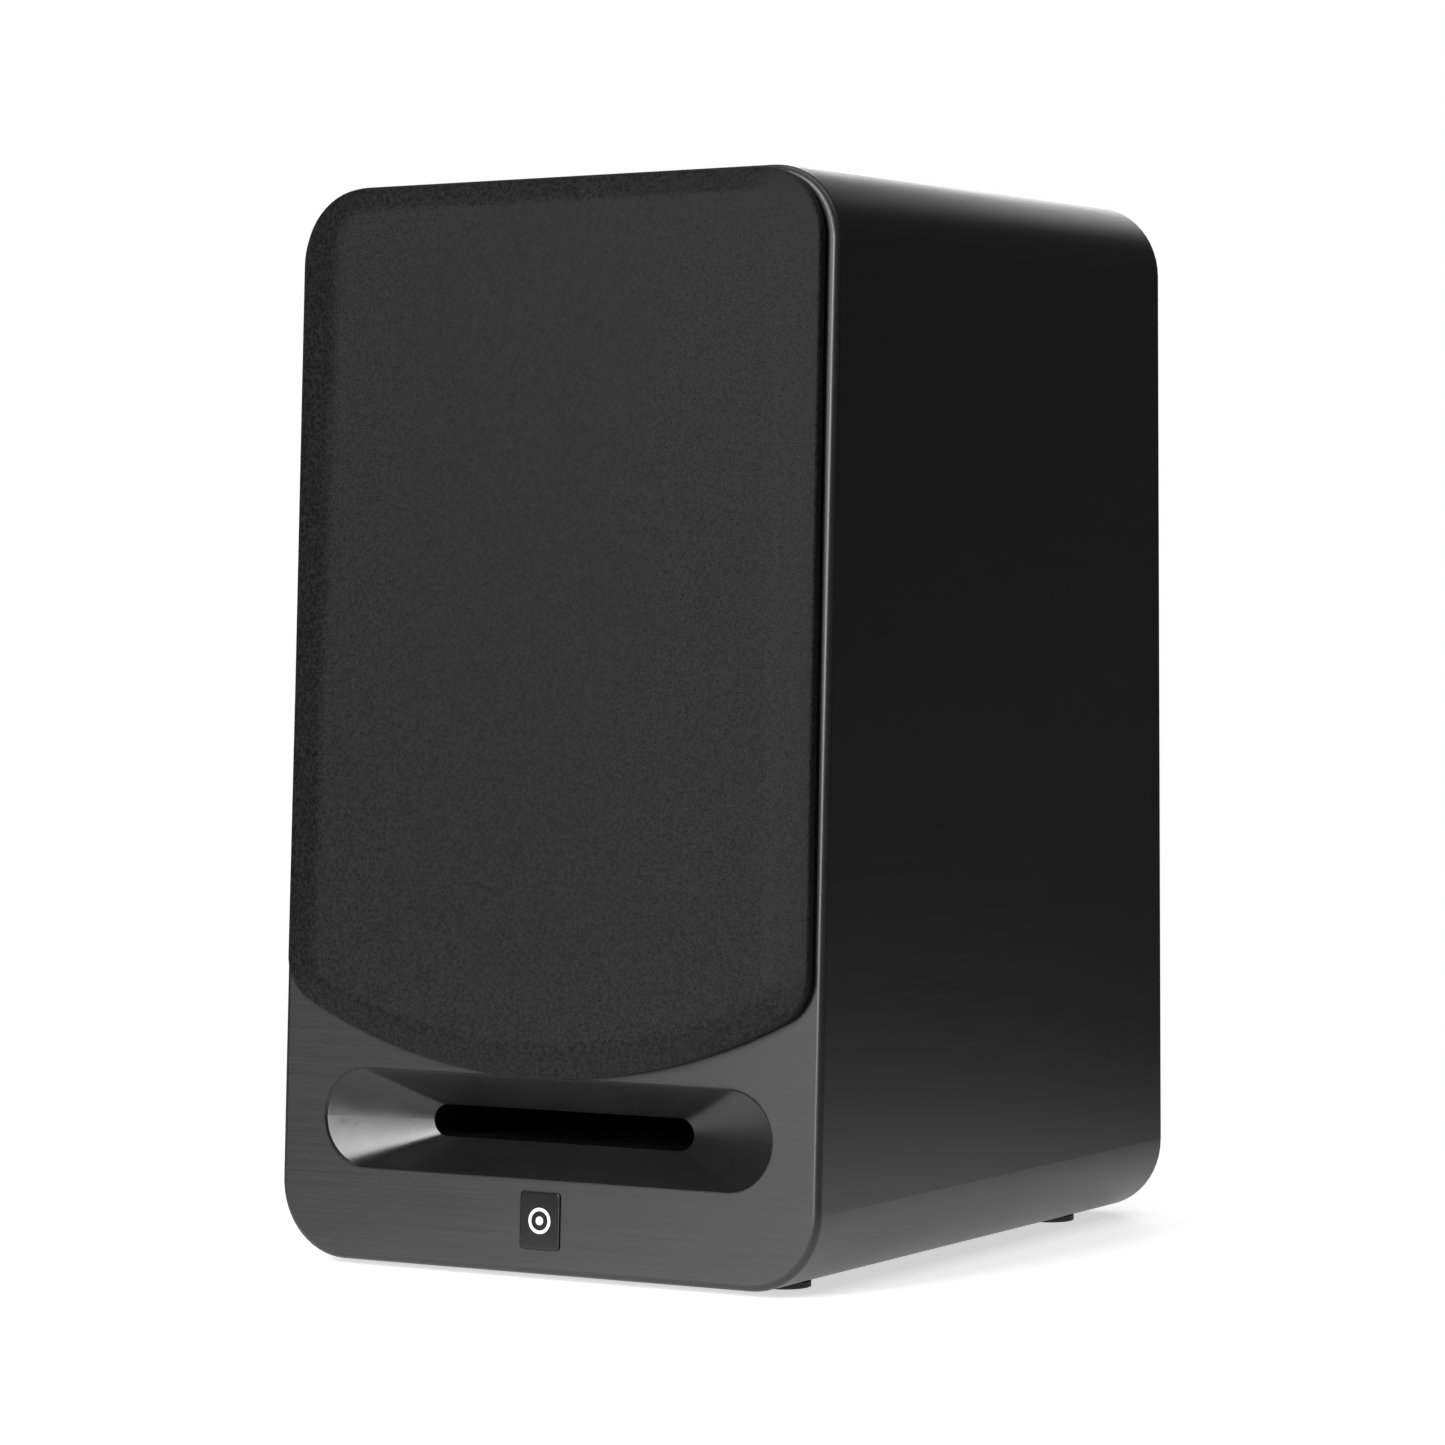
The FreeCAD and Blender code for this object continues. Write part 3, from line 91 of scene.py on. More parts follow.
# Softboxes: bearing in degrees from straight ahead, positive to the right; power in watts
SOFTBOXES = {
    "key": {
        "bearing": -11.0, "height": 0.75, "distance": 2.0, "width": 0.6, "tall": 1.6, "power": 58.0
    },
    "right_rim": {
        "bearing": 80.0, "height": 1.7, "distance": 1.0, "width": 0.7, "tall": 0.7, "power": 5.0
    },
    "back_rim": {
        "bearing": -164.0, "height": 0.85, "distance": 2.0, "width": 1.0, "tall": 0.6, "power": 8.0
    },
    "top": {
        "bearing": 0.0, "height": 2.1, "distance": 0.02, "width": 1.4, "tall": 1.4, "power": 12.0
    },
}
ROOM_GLOW = 0.06
FLOOR_RADII = (0.25, 0.5, 0.75)
FLOOR_SIDES = 96
FLOOR_GLOW = 0.6
FLOOR_FADES_FROM = 0.13
FLOOR_FADES_TO = 0.42

# Grille cloth, as in the solid that it replaces: radii of the upper corners, the lower corners and
# the arched lower edge, at the bevel's foot and at its ridge; heights of the bevel's foot and of the
# grille's back over the baffle
FOOT_ROUNDS = (0.0195, 0.014, 0.174)
RIDGE_ROUNDS = (0.0095, 0.008, 0.175)
SHOULDER = 0.0034
GRILLE_GAP = 0.0012

# The sheet itself: thickness, the hem turned in behind and how far behind the solid it lies, the
# bevel's run that the hem is a share of, and the folds' small rounds
CLOTH = 0.0004
HEM = 0.0045
HEM_BEHIND = 0.0003
BEVEL_RUN = 0.0115
BACK_ROUND = 0.0005
SHOULDER_ROUND = 0.0007
ARC_STEPS = 22
CORNER_STEPS = 14
SIDE_STEPS = 30
TOP_STEPS = 14
FACE_SHARES = (0.96, 0.9, 0.82, 0.72, 0.6, 0.46, 0.3, 0.14)
WEAVE_PITCH = 0.00062
CLOTH_DARK = (0.0022, 0.0022, 0.0024)
CLOTH_LIGHT = (0.0135, 0.0135, 0.0138)

# Drivers' soft rings, as in the solids that they replace: radii of the woofer's roll, the flats at
# its inner and outer edges, and how much of a ring's edge is glued down
WOOFER_ROLL = (0.0522, 0.0616)
INNER_FLAT = 0.001
OUTER_FLAT = 0.002
GLUED_EDGE = 0.0003
ROLL_FULLNESS = 0.75
RUBBER_SHEET = 0.0006
SPIDER_SHEET = 0.0005
SPIDER_WAVES = 6
SPIDER_WAVE = 0.0036
SPIDER_REACH = 0.0009
TWEETER_SHEET = 0.0003
TURN_STEPS = 144

# Filling: faces along each side, how far its faces lie in, how far its edges and corners are pulled
# in, and the fineness and height of each kind of lump
FILL_CUTS = (34, 32, 10)
FILL_INSET = 0.0034
FILL_PULL = 0.05
FILL_LUMPS = ((60, 0.0022), (170, 0.0009))

# Pitches of what is wound or pressed
CONE_RINGS = 0.0031
WIRE_TURNS = 0.0009


# ---------------------------------------------------------------- places


def front_points(node):
    """A CAD node's points in the front's frame."""
    return np.array([vertex.co for vertex in NODES[node].data.vertices]) @ FRONT_AXES.T


def front_box(node):
    points = front_points(node)
    return points.min(0), points.max(0)


def from_front(points):
    """Row-frame places of points given as across, up, out."""
    return np.asarray(points, float) @ FRONT_AXES


def new_piece(name, points, faces, material, smooth=True):
    mesh = bpy.data.meshes.new(name)
    mesh.from_pydata([tuple(point) for point in points], [], faces)
    mesh.validate()
    mesh.polygons.foreach_set("use_smooth", [smooth] * len(mesh.polygons))
    mesh.materials.append(material)
    piece = bpy.data.objects.new(name, mesh)
    bpy.context.scene.collection.objects.link(piece)
    return piece


def band(rings, size):
    """Faces between successive closed rings of the same size."""
    faces = []
    for ring in range(rings - 1):
        for step in range(size):
            following = (step + 1) % size
            faces.append(
                (
                    ring * size + step,
                    ring * size + following,
                    (ring + 1) * size + following,
                    (ring + 1) * size + step,
                )
            )
    return faces


# ---------------------------------------------------------------- material nodes


class Finish:
    """One procedural material: a Principled shader and the nodes that feed it."""

    def __init__(self, name, **sockets):
        self.material = bpy.data.materials.new(name)
        self.material.use_nodes = True
        self.tree = self.material.node_tree
        self.tree.nodes.clear()
        self.shader = self.add("ShaderNodeBsdfPrincipled")
        output = self.add("ShaderNodeOutputMaterial")
        self.tree.links.new(self.shader.outputs["BSDF"], output.inputs["Surface"])
        self.place = self.add("ShaderNodeTexCoord").outputs["Object"]
        for socket, number in sockets.items():
            self.shader.inputs[socket.replace("_", " ")].default_value = number

    def add(self, kind, inputs=None, **settings):
        node = self.tree.nodes.new(kind)
        for name, setting in settings.items():
            setattr(node, name, setting)
        for socket, given in (inputs or {}).items():
            self.feed(node.inputs[socket], given)
        return node

    def feed(self, socket, given):
        if isinstance(given, bpy.types.NodeSocket):
            self.tree.links.new(given, socket)
        else:
            socket.default_value = given

    def stretched(self, scale, turn=(0, 0, 0)):
        """The place on the object, turned and then scaled along each axis."""
        turned = self.add("ShaderNodeMapping", {"Vector": self.place, "Rotation": turn})
        return self.add(
            "ShaderNodeMapping", {"Vector": turned.outputs[0], "Scale": scale}
        ).outputs[0]

    def noise(self, vector, scale, detail=3.0, roughness=0.55):
        inputs = {"Vector": vector, "Scale": scale, "Detail": detail, "Roughness": roughness}
        return self.add("ShaderNodeTexNoise", inputs).outputs["Fac"]

    def cells(self, vector, scale, feature="F1"):
        inputs = {"Vector": vector, "Scale": scale}
        return self.add("ShaderNodeTexVoronoi", inputs, feature=feature).outputs["Distance"]

    def math(self, operation, first, second=0.0):
        node = self.add("ShaderNodeMath", {0: first, 1: second}, operation=operation)
        return node.outputs[0]

    def remap(self, given, low, high, to_low, to_high):
        inputs = {
            "Value": given,
            "From Min": low,
            "From Max": high,
            "To Min": to_low,
            "To Max": to_high,
        }
        return self.add("ShaderNodeMapRange", inputs).outputs[0]

    def colours(self, share, first, second):
        node = self.add("ShaderNodeMix", data_type="RGBA")
        self.feed(node.inputs[0], share)
        node.inputs[6].default_value = (*first, 1)
        node.inputs[7].default_value = (*second, 1)
        return node.outputs[2]

    def blended(self, share, first, second):
        node = self.add("ShaderNodeMix", data_type="FLOAT")
        for socket, given in zip(node.inputs[:1] + node.inputs[2:4], (share, first, second)):
            self.feed(socket, given)
        return node.outputs[0]

    def plus(self, first, second, weight=1.0):
        """The first plus a share of the second."""
        return self.math("ADD", first, self.math("MULTIPLY", second, weight))

    def minus(self, first, second, weight=1.0):
        """The first less a share of the second."""
        return self.math("SUBTRACT", first, self.math("MULTIPLY", second, weight))

    def waves(self, along, pitch):
        """From -1 to 1 and back once in each pitch."""
        return self.math("SINE", self.math("MULTIPLY", along, 2 * math.pi / pitch))

    def crossed_threads(self, vector, pitch):
        axes = self.add("ShaderNodeSeparateXYZ", {0: vector}).outputs
        warp, weft = self.waves(axes["X"], pitch), self.waves(axes["Z"], pitch)
        return self.remap(self.math("MULTIPLY", warp, weft), -1.0, 1.0, 0.0, 1.0)

    def middling(self, given, to_low, to_high):
        """The middle of a noise, where most of it lies, spread from to_low to to_high."""
        return self.remap(given, 0.3, 0.7, to_low, to_high)

    def relief(self, height, distance, strength=1.0):
        node = self.add(
            "ShaderNodeBump", {"Height": height, "Distance": distance, "Strength": strength}
        )
        self.tree.links.new(node.outputs[0], self.shader.inputs["Normal"])

    def edges(self, radius, gain):
        """Near 1 where the surface turns within the radius, 0 on open faces."""
        soft = self.add("ShaderNodeBevel", {"Radius": radius}, samples=4).outputs[0]
        plain = self.add("ShaderNodeNewGeometry").outputs["Normal"]
        dot = self.add("ShaderNodeVectorMath", {0: soft, 1: plain}, operation="DOT_PRODUCT")
        return self.remap(dot.outputs["Value"], 1.0, 1.0 - gain, 0.0, 1.0)

    def paint(self, colour, roughness=None):
        self.tree.links.new(colour, self.shader.inputs["Base Color"])
        if roughness is not None:
            self.tree.links.new(roughness, self.shader.inputs["Roughness"])
        return self.material


# ---------------------------------------------------------------- materials


def foil():
    """Satin black foil with a fine grain that runs level round the cabinet."""
    finish = Finish("cabinet_foil", Specular_IOR_Level=0.5)
    normal = finish.add("ShaderNodeNewGeometry").outputs["Normal"]
    level = finish.add("ShaderNodeSeparateXYZ", {0: normal}).outputs["Z"]
    on_top = finish.remap(finish.math("ABSOLUTE", level), 0.55, 0.85, 0.0, 1.0)
    on_sides = finish.noise(finish.stretched((18, 18, 1600)), 1.0, detail=4.0, roughness=0.65)
    on_ends = finish.noise(finish.stretched((1600, 18, 18)), 1.0, detail=4.0, roughness=0.65)
    grain = finish.blended(on_top, on_sides, on_ends)
    cloud = finish.noise(finish.place, 22.0, detail=2.0)
    grit = finish.noise(finish.place, 2600.0, detail=2.0)
    rubbed_and_highlit_edges = finish.edges(0.0012, 0.35)
    finish.relief(finish.plus(grain, grit, 0.6), 0.00002, 0.25)
    rough = finish.plus(finish.middling(grain, 0.315, 0.36), cloud, 0.05)
    rough = finish.minus(rough, rubbed_and_highlit_edges, 0.05)
    share = finish.remap(grain, 0.32, 0.68, 0.0, 1.0)
    colour = finish.colours(share, (0.013, 0.013, 0.0135), (0.017, 0.017, 0.0175))
    return finish.paint(colour, rough)


def weave():
    """Matt black acoustic cloth: a fine plain weave of slightly uneven threads."""
    finish = Finish(
        "acoustic_cloth", Sheen_Weight=0.04, Sheen_Roughness=0.5, Specular_IOR_Level=0.13
    )
    rake = OUT.angle(Vector((0, -1, 0)))
    flat = finish.stretched((1, 1, 1), (rake, 0, 0))
    wander = {"Vector": flat, "Scale": 420.0, "Detail": 2.0}
    drift = finish.add("ShaderNodeTexNoise", wander).outputs["Color"]
    reach = (WEAVE_PITCH * 0.5,) * 3
    shift = finish.add("ShaderNodeVectorMath", {0: drift, 1: reach}, operation="MULTIPLY")
    moved = finish.add("ShaderNodeVectorMath", {0: flat, 1: shift.outputs[0]}, operation="ADD")
    checks = finish.crossed_threads(moved.outputs[0], WEAVE_PITCH)
    fluff = finish.noise(flat, 900.0, detail=4.0, roughness=0.7)
    mottle = finish.noise(flat, 950.0, detail=2.0, roughness=0.7)
    height = finish.plus(checks, fluff, 0.8)
    finish.relief(height, 0.00013, 0.5)
    tone = finish.plus(finish.math("MULTIPLY", height, 0.15), mottle, 0.85)
    share = finish.remap(tone, 0.44, 0.68, 0.0, 1.0)
    colour = finish.colours(share, CLOTH_DARK, CLOTH_LIGHT)
    return finish.paint(colour, finish.remap(share, 0.0, 1.0, 0.36, 0.46))


def moulded(name, dark, light, roughness, grain=2400.0, depth=0.00003, rub_and_highlight_radius=0.0008):
    """Moulded plastic or rubber: pitted texture, faint flow marks, and edges that turn within the
    radius made glossier by wear and lighter in colour as a painted highlight."""
    finish = Finish(name)
    pits = finish.cells(finish.place, grain)
    flow = finish.noise(finish.place, 35.0)
    rubbed_and_highlit_edges = finish.edges(rub_and_highlight_radius, 0.4) if rub_and_highlight_radius else 0.0
    finish.relief(pits, depth, 0.7)
    # Colour lighter along the edges is a painted highlight; the lower roughness there is wear.
    share = finish.plus(finish.math("MULTIPLY", flow, 0.7), rubbed_and_highlit_edges, 0.5)
    rough = finish.minus(finish.middling(flow, roughness - 0.03, roughness + 0.05), rubbed_and_highlit_edges, 0.08)
    return finish.paint(finish.colours(share, dark, light), rough)


def metal(name, dark, light, roughness, grain=900.0):
    """Turned or plated metal with fine tool marks and duller patches."""
    finish = Finish(name, Metallic=1.0)
    marks = finish.noise(finish.stretched((1, 0.06, 1)), grain, detail=4.0, roughness=0.6)
    patches = finish.noise(finish.place, 160.0)
    finish.relief(marks, 0.00002, 0.5)
    colour = finish.colours(finish.middling(patches, 0.0, 1.0), dark, light)
    rough = finish.plus(finish.middling(marks, roughness - 0.06, roughness + 0.06), patches, 0.08)
    return finish.paint(colour, rough)


def ferrite():
    """Dull grey sintered ferrite with a pitted skin."""
    finish = Finish("ferrite")
    pits = finish.cells(finish.place, 700.0)
    stain = finish.noise(finish.place, 60.0, detail=5.0)
    finish.relief(pits, 0.0001, 0.6)
    colour = finish.colours(stain, (0.022, 0.021, 0.022), (0.06, 0.058, 0.056))
    return finish.paint(colour, finish.remap(pits, 0.0, 0.8, 0.5, 0.75))


def paper_cone():
    """Black pressed-pulp cone: felted fibres and fine rings from the mould."""
    finish = Finish("pulp_cone", Specular_IOR_Level=0.35)
    low, high = front_box("woofer_cone")
    middle = tuple(from_front((low + high) / 2))
    from_middle = {0: finish.place, 1: middle}
    offset = finish.add("ShaderNodeVectorMath", from_middle, operation="SUBTRACT").outputs[0]
    radius = finish.add("ShaderNodeVectorMath", {0: offset}, operation="LENGTH").outputs["Value"]
    rings = finish.waves(radius, CONE_RINGS)
    fibres = finish.noise(finish.stretched((900, 900, 300)), 1.0, detail=5.0, roughness=0.7)
    finish.relief(finish.plus(fibres, rings, 0.15), 0.00012, 0.7)
    share = finish.middling(fibres, 0.0, 1.0)
    colour = finish.colours(share, (0.012, 0.012, 0.013), (0.034, 0.033, 0.033))
    return finish.paint(colour, finish.middling(fibres, 0.5, 0.68))


def woven(name, dark, light, pitch, roughness, sheen):
    """A coated textile: crossed threads in the plane of the front."""
    finish = Finish(name, Sheen_Weight=sheen)
    threads = finish.crossed_threads(finish.place, pitch)
    coat = finish.noise(finish.place, 300.0)
    finish.relief(threads, 0.00006, 0.6)
    share = finish.plus(finish.math("MULTIPLY", threads, 0.5), coat, 0.5)
    rough = finish.middling(coat, roughness - 0.06, roughness + 0.06)
    return finish.paint(finish.colours(share, dark, light), rough)


def winding():
    """Enamelled copper wire laid in close turns."""
    finish = Finish("enamelled_copper", Metallic=1.0)
    axes = finish.add("ShaderNodeSeparateXYZ", {0: finish.place})
    turns = finish.waves(axes.outputs["Y"], WIRE_TURNS)
    stain = finish.noise(finish.place, 240.0)
    finish.relief(turns, 0.0002, 0.8)
    colour = finish.colours(stain, (0.36, 0.09, 0.03), (0.66, 0.24, 0.09))
    return finish.paint(colour, finish.middling(stain, 0.25, 0.4))


def board():
    """Green circuit board with wide tinned tracks under the mask."""
    finish = Finish("circuit_board")
    tracks = finish.cells(finish.stretched((90, 1, 60)), 1.0, "DISTANCE_TO_EDGE")
    line = finish.remap(tracks, 0.06, 0.1, 1.0, 0.0)
    glass = finish.noise(finish.stretched((1500, 200, 1500)), 1.0, detail=2.0)
    finish.relief(finish.plus(line, glass, 0.2), 0.00006, 0.7)
    share = finish.remap(line, 0.0, 1.0, 0.15, 0.9)
    colour = finish.colours(share, (0.008, 0.045, 0.022), (0.03, 0.13, 0.06))
    return finish.paint(colour, finish.middling(glass, 0.3, 0.42))


def fibre_fill():
    """Loose white polyester filling."""
    finish = Finish("polyester_fill", Sheen_Weight=0.4)
    strands = finish.noise(finish.stretched((220, 900, 500)), 1.0, detail=5.0, roughness=0.75)
    clumps = finish.noise(finish.place, 70.0, detail=4.0)
    finish.relief(finish.plus(strands, clumps), 0.0012, 0.9)
    share = finish.math("MULTIPLY", strands, clumps)
    colour = finish.colours(share, (0.38, 0.38, 0.36), (0.92, 0.92, 0.9))
    return finish.paint(colour, finish.middling(strands, 0.85, 1.0))


def make_materials():
    """One material for each slot of the record."""
    return {
        "cabinet_vinyl": foil(),
        "grille_cloth": weave(),
        "moulded_black": moulded(
            "moulded_black", (0.006, 0.006, 0.0065), (0.012, 0.012, 0.0125), 0.27, 900.0, 0.000002, 0.0
        ),
        "badge_plate": moulded(
            "badge_lacquer", (0.006, 0.006, 0.0065), (0.014, 0.014, 0.015), 0.17, 5200.0, 0.000004
        ),
        "badge_mark": moulded(
            "badge_print", (0.74, 0.74, 0.75), (0.86, 0.86, 0.86), 0.35, 5200.0, 0.00001
        ),
        "rubber": moulded(
            "rubber", (0.012, 0.012, 0.012), (0.03, 0.03, 0.03), 0.6, 1600.0, 0.00004
        ),
        "cone": paper_cone(),
        "silk": woven("coated_silk", (0.012, 0.012, 0.014), (0.05, 0.05, 0.055), 0.0003, 0.42, 0.3),
        "former": woven("former_film", (0.30, 0.13, 0.03), (0.45, 0.22, 0.06), 0.0008, 0.35, 0.0),
        "copper": winding(),
        "spider": woven("treated_linen", (0.30, 0.17, 0.06), (0.52, 0.34, 0.15), 0.0007, 0.75, 0.2),
        "basket_paint": moulded(
            "basket_paint", (0.014, 0.014, 0.015), (0.035, 0.035, 0.037), 0.42, 1400.0, 0.00005
        ),
        "ferrite": ferrite(),
        "zinc_steel": metal("zinc_steel", (0.52, 0.53, 0.55), (0.72, 0.72, 0.73), 0.32),
        "nickel": metal("nickel", (0.56, 0.54, 0.50), (0.74, 0.72, 0.68), 0.22),
        "black_screws": metal("black_oxide", (0.035, 0.035, 0.038), (0.075, 0.075, 0.08), 0.38),
        "gilt_brass": metal("gilt_brass", (0.72, 0.46, 0.14), (0.92, 0.66, 0.28), 0.2),
        "red_plastic": moulded(
            "red_plastic", (0.34, 0.006, 0.006), (0.52, 0.02, 0.015), 0.3, 3800.0, 0.00001
        ),
        "black_plastic": moulded(
            "black_plastic", (0.010, 0.010, 0.010), (0.024, 0.024, 0.025), 0.3, 3800.0, 0.00001
        ),
        "board": board(),
        "nylon": moulded("nylon", (0.62, 0.60, 0.54), (0.78, 0.76, 0.70), 0.42, 1800.0),
        "capacitor": moulded("capacitor_film", (0.50, 0.33, 0.05), (0.70, 0.50, 0.12), 0.3, 900.0),
        "cement": moulded("cement", (0.50, 0.49, 0.46), (0.72, 0.71, 0.68), 0.75, 500.0, 0.0002),
        "lead_insulation": moulded(
            "lead_insulation", (0.20, 0.008, 0.006), (0.34, 0.02, 0.015), 0.42, 1500.0
        ),
        "wadding": fibre_fill(),
    }


def paint_cad_nodes(materials):
    """Give each CAD node the material of its slot in the record."""
    for entry in frame["record"]["subparts"]:
        node = NODES[entry["node"]]
        for slot in node.material_slots:
            slot.material = materials[entry["material_slot"]]


# ---------------------------------------------------------------- grille cloth


def bend(start, corner, end, steps):
    """Points of a smooth turn from start to end, drawn towards the corner."""
    share = np.linspace(0, 1, steps)[:, None]
    start, corner, end = (np.array(point, float) for point in (start, corner, end))
    return list((1 - share) ** 2 * start + 2 * share * (1 - share) * corner + share**2 * end)


def turn(centre, radius, first, last, steps):
    angles = np.linspace(first, last, steps)
    return [(centre[0] + radius * math.cos(a), centre[1] + radius * math.sin(a)) for a in angles]


def cloth_outline(half_top, half_bottom, low, high, rounds):
    """The grille's outline as across and up, the same number of points for any size."""
    top_round, bottom_round, bottom_arc = rounds
    aside = half_bottom - bottom_round
    reach = bottom_arc - bottom_round
    below = math.sqrt(reach**2 - aside**2)
    arc_centre = low + bottom_arc
    tangent = math.atan2(-below, aside)
    right = turn((0, arc_centre), bottom_arc, -math.pi / 2, tangent, ARC_STEPS)
    right += turn((aside, arc_centre - below), bottom_round, tangent, 0, CORNER_STEPS)[1:]
    top_middle = (half_top - top_round, high - top_round)
    top_corner = turn(top_middle, top_round, 0, math.pi / 2, CORNER_STEPS)
    side = np.linspace(right[-1], top_corner[0], SIDE_STEPS)
    right += [tuple(point) for point in side[1:-1]] + top_corner
    right += [tuple(point) for point in np.linspace(right[-1], (0, high), TOP_STEPS)[1:]]
    left = [(-x, y) for x, y in right[-2:0:-1]]
    return np.array(right + left)


def widths(points, bottom_level):
    """Half widths of an outline at its upper corners' foot and at its widest."""
    top = points[:, 1].max()
    upper = points[points[:, 1] > top - (top - bottom_level) / 6]
    return np.abs(upper[:, 0]).max(), np.abs(points[:, 0]).max()


def make_grille_cloth(materials):
    """One stretched sheet: over the ridge, down the bevel, round the edge and turned in behind."""
    points = front_points("grille_cloth")
    low, high = points.min(0), points.max(0)
    crest = points[points[:, 2] > high[2] - 1e-5]
    foot = cloth_outline(*widths(points, low[1]), low[1], high[1], FOOT_ROUNDS)
    crest_low, crest_high = crest[:, 1].min(), crest[:, 1].max()
    ridge = cloth_outline(*widths(crest, crest_low), crest_low, crest_high, RIDGE_ROUNDS)
    shoulder = low[2] + SHOULDER - GRILLE_GAP
    behind = low[2] - HEM_BEHIND
    slope = high[2] - shoulder

    # The section through the sheet, from the hem to the face: how far from the foot's outline (0)
    # to the ridge's (1), and the height out of the front
    profile = [(HEM / BEVEL_RUN, behind), (0.10, behind)]
    profile += bend((0.03, behind), (0.0, behind), (0.0, low[2] + BACK_ROUND), 4)
    profile += bend(
        (0.0, shoulder - SHOULDER_ROUND), (0.0, shoulder), (0.09, shoulder + 0.09 * slope), 6
    )
    profile += [(0.3, shoulder + 0.3 * slope), (0.55, shoulder + 0.55 * slope)]
    profile += bend((0.8, shoulder + 0.8 * slope), (1.0, high[2]), (1.22, high[2]), 9)
    rings = []
    for share, height in profile:
        rings.append(np.column_stack([foot + (ridge - foot) * share, np.full(len(foot), height)]))
    last = rings[-1]
    middle = np.array([0.0, (crest_low + crest_high) / 2, high[2]])
    for share in FACE_SHARES:
        rings.append(middle + (last - middle) * (share, share, 1))
    size = len(foot)
    vertices = np.vstack(rings + [middle[None]])
    faces = band(len(rings), size)
    start = (len(rings) - 1) * size
    faces += [(start + k, start + (k + 1) % size, len(vertices) - 1) for k in range(size)]
    cloth = new_piece("grille_cloth_weave", from_front(vertices), faces, materials["grille_cloth"])
    solid = cloth.modifiers.new("thickness", "SOLIDIFY")
    solid.thickness = CLOTH
    solid.offset = -1
    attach(cloth, "grille")
    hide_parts("grille_cloth")


# ---------------------------------------------------------------- soft rings of the drivers


def thicken(line, sheet):
    """A closed profile round a line of (radius, out) points."""
    line = np.array(line, float)
    along = np.gradient(line, axis=0)
    along /= np.linalg.norm(along, axis=1)[:, None]
    side = np.column_stack([-along[:, 1], along[:, 0]]) * sheet / 2
    return np.vstack([line + side, (line - side)[::-1]])


def turned(name, node, profile, material):
    """A profile of (radius, out) turned about the axis of a CAD node on the front."""
    low, high = front_box(node)
    middle = (low[1] + high[1]) / 2
    rings = []
    for step in range(TURN_STEPS):
        angle = 2 * math.pi * step / TURN_STEPS
        across = profile[:, 0] * math.cos(angle)
        up = middle + profile[:, 0] * math.sin(angle)
        rings.append(np.column_stack([across, up, profile[:, 1]]))
    size = len(profile)
    faces = band(TURN_STEPS, size)
    last = (TURN_STEPS - 1) * size
    for step in range(size):
        following = (step + 1) % size
        faces.append((last + step, last + following, following, step))
    faces = [tuple(reversed(face)) for face in faces]
    return new_piece(name, from_front(np.vstack(rings)), faces, material)


def blend_from_rim(piece, node, inner_body, inner, outer):
    """Bakes the piece's placement into its mesh and works out an eased share for each point, from
    the outer radius to the inner; nothing uses the share.
    """
    low, high = front_box(node)
    middle = Vector(from_front((low + high) / 2))
    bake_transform(piece)
    points = np.array([vertex.co for vertex in piece.data.vertices]) - np.array(middle)
    radius = np.linalg.norm(points - np.outer(points @ np.array(OUT), np.array(OUT)), axis=1)
    share = np.clip((outer - radius) / (outer - inner), 0, 1)
    share = share * share * (3 - 2 * share)


def roll(first, last, base, rise, steps=22):
    """A half roll between two radii, easing in and out of the flats."""
    radii = np.linspace(first, last, steps)
    share = (radii - first) / (last - first)
    return np.column_stack([radii, base + rise * np.sin(math.pi * share) ** ROLL_FULLNESS])


def make_woofer_surround(materials):
    low, high = front_box("woofer_surround")
    outer = (high[0] - low[0]) / 2
    inner = front_radius("woofer_surround")
    base = low[2] + RUBBER_SHEET / 2
    rise = high[2] - RUBBER_SHEET / 2 - base
    line = [(inner, base), (inner + INNER_FLAT, base)]
    line += list(roll(*WOOFER_ROLL, base, rise)) + [(outer - OUTER_FLAT, base), (outer, base)]
    section = thicken(line, RUBBER_SHEET)
    surround = turned("woofer_roll", "woofer_surround", section, materials["rubber"])
    blend_from_rim(surround, "woofer_surround", "woofer_cone", *WOOFER_ROLL)
    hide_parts("woofer_surround")


def make_woofer_spider(materials):
    low, high = front_box("woofer_spider")
    outer = (high[0] - low[0]) / 2
    inner = front_radius("woofer_spider")
    middle = (low[2] + high[2]) / 2
    first = inner + SPIDER_WAVE / 2
    last = first + SPIDER_WAVES * SPIDER_WAVE
    line = [(inner, middle)]
    for radius in np.linspace(first, last, SPIDER_WAVES * 10 + 1):
        phase = math.pi * (radius - first) / SPIDER_WAVE
        line.append((radius, middle + SPIDER_REACH * math.sin(phase)))
    line += [(last + INNER_FLAT, middle), (outer, middle)]
    section = thicken(line, SPIDER_SHEET)
    spider = turned("woofer_corrugated_disc", "woofer_spider", section, materials["spider"])
    blend_from_rim(spider, "woofer_spider", "woofer_cone", first, last)
    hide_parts("woofer_spider")


def make_tweeter_surround(materials):
    low, high = front_box("tweeter_surround")
    outer = (high[0] - low[0]) / 2
    inner = front_radius("tweeter_surround")
    base = low[2] + TWEETER_SHEET / 2
    rise = high[2] - TWEETER_SHEET / 2 - base
    line = roll(inner, outer, base, rise, 14)
    section = thicken(line, TWEETER_SHEET)
    ring = turned("tweeter_roll", "tweeter_surround", section, materials["silk"])
    blend_from_rim(ring, "tweeter_surround", "tweeter_dome", inner + GLUED_EDGE, outer - GLUED_EDGE)
    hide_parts("tweeter_surround")


def front_radius(node):
    """The smallest distance of a round CAD node's points from its axis."""
    points = front_points(node)
    middle = (points.min(0) + points.max(0)) / 2
    return float(np.hypot(points[:, 0] - middle[0], points[:, 1] - middle[1]).min())


# ---------------------------------------------------------------- wadding


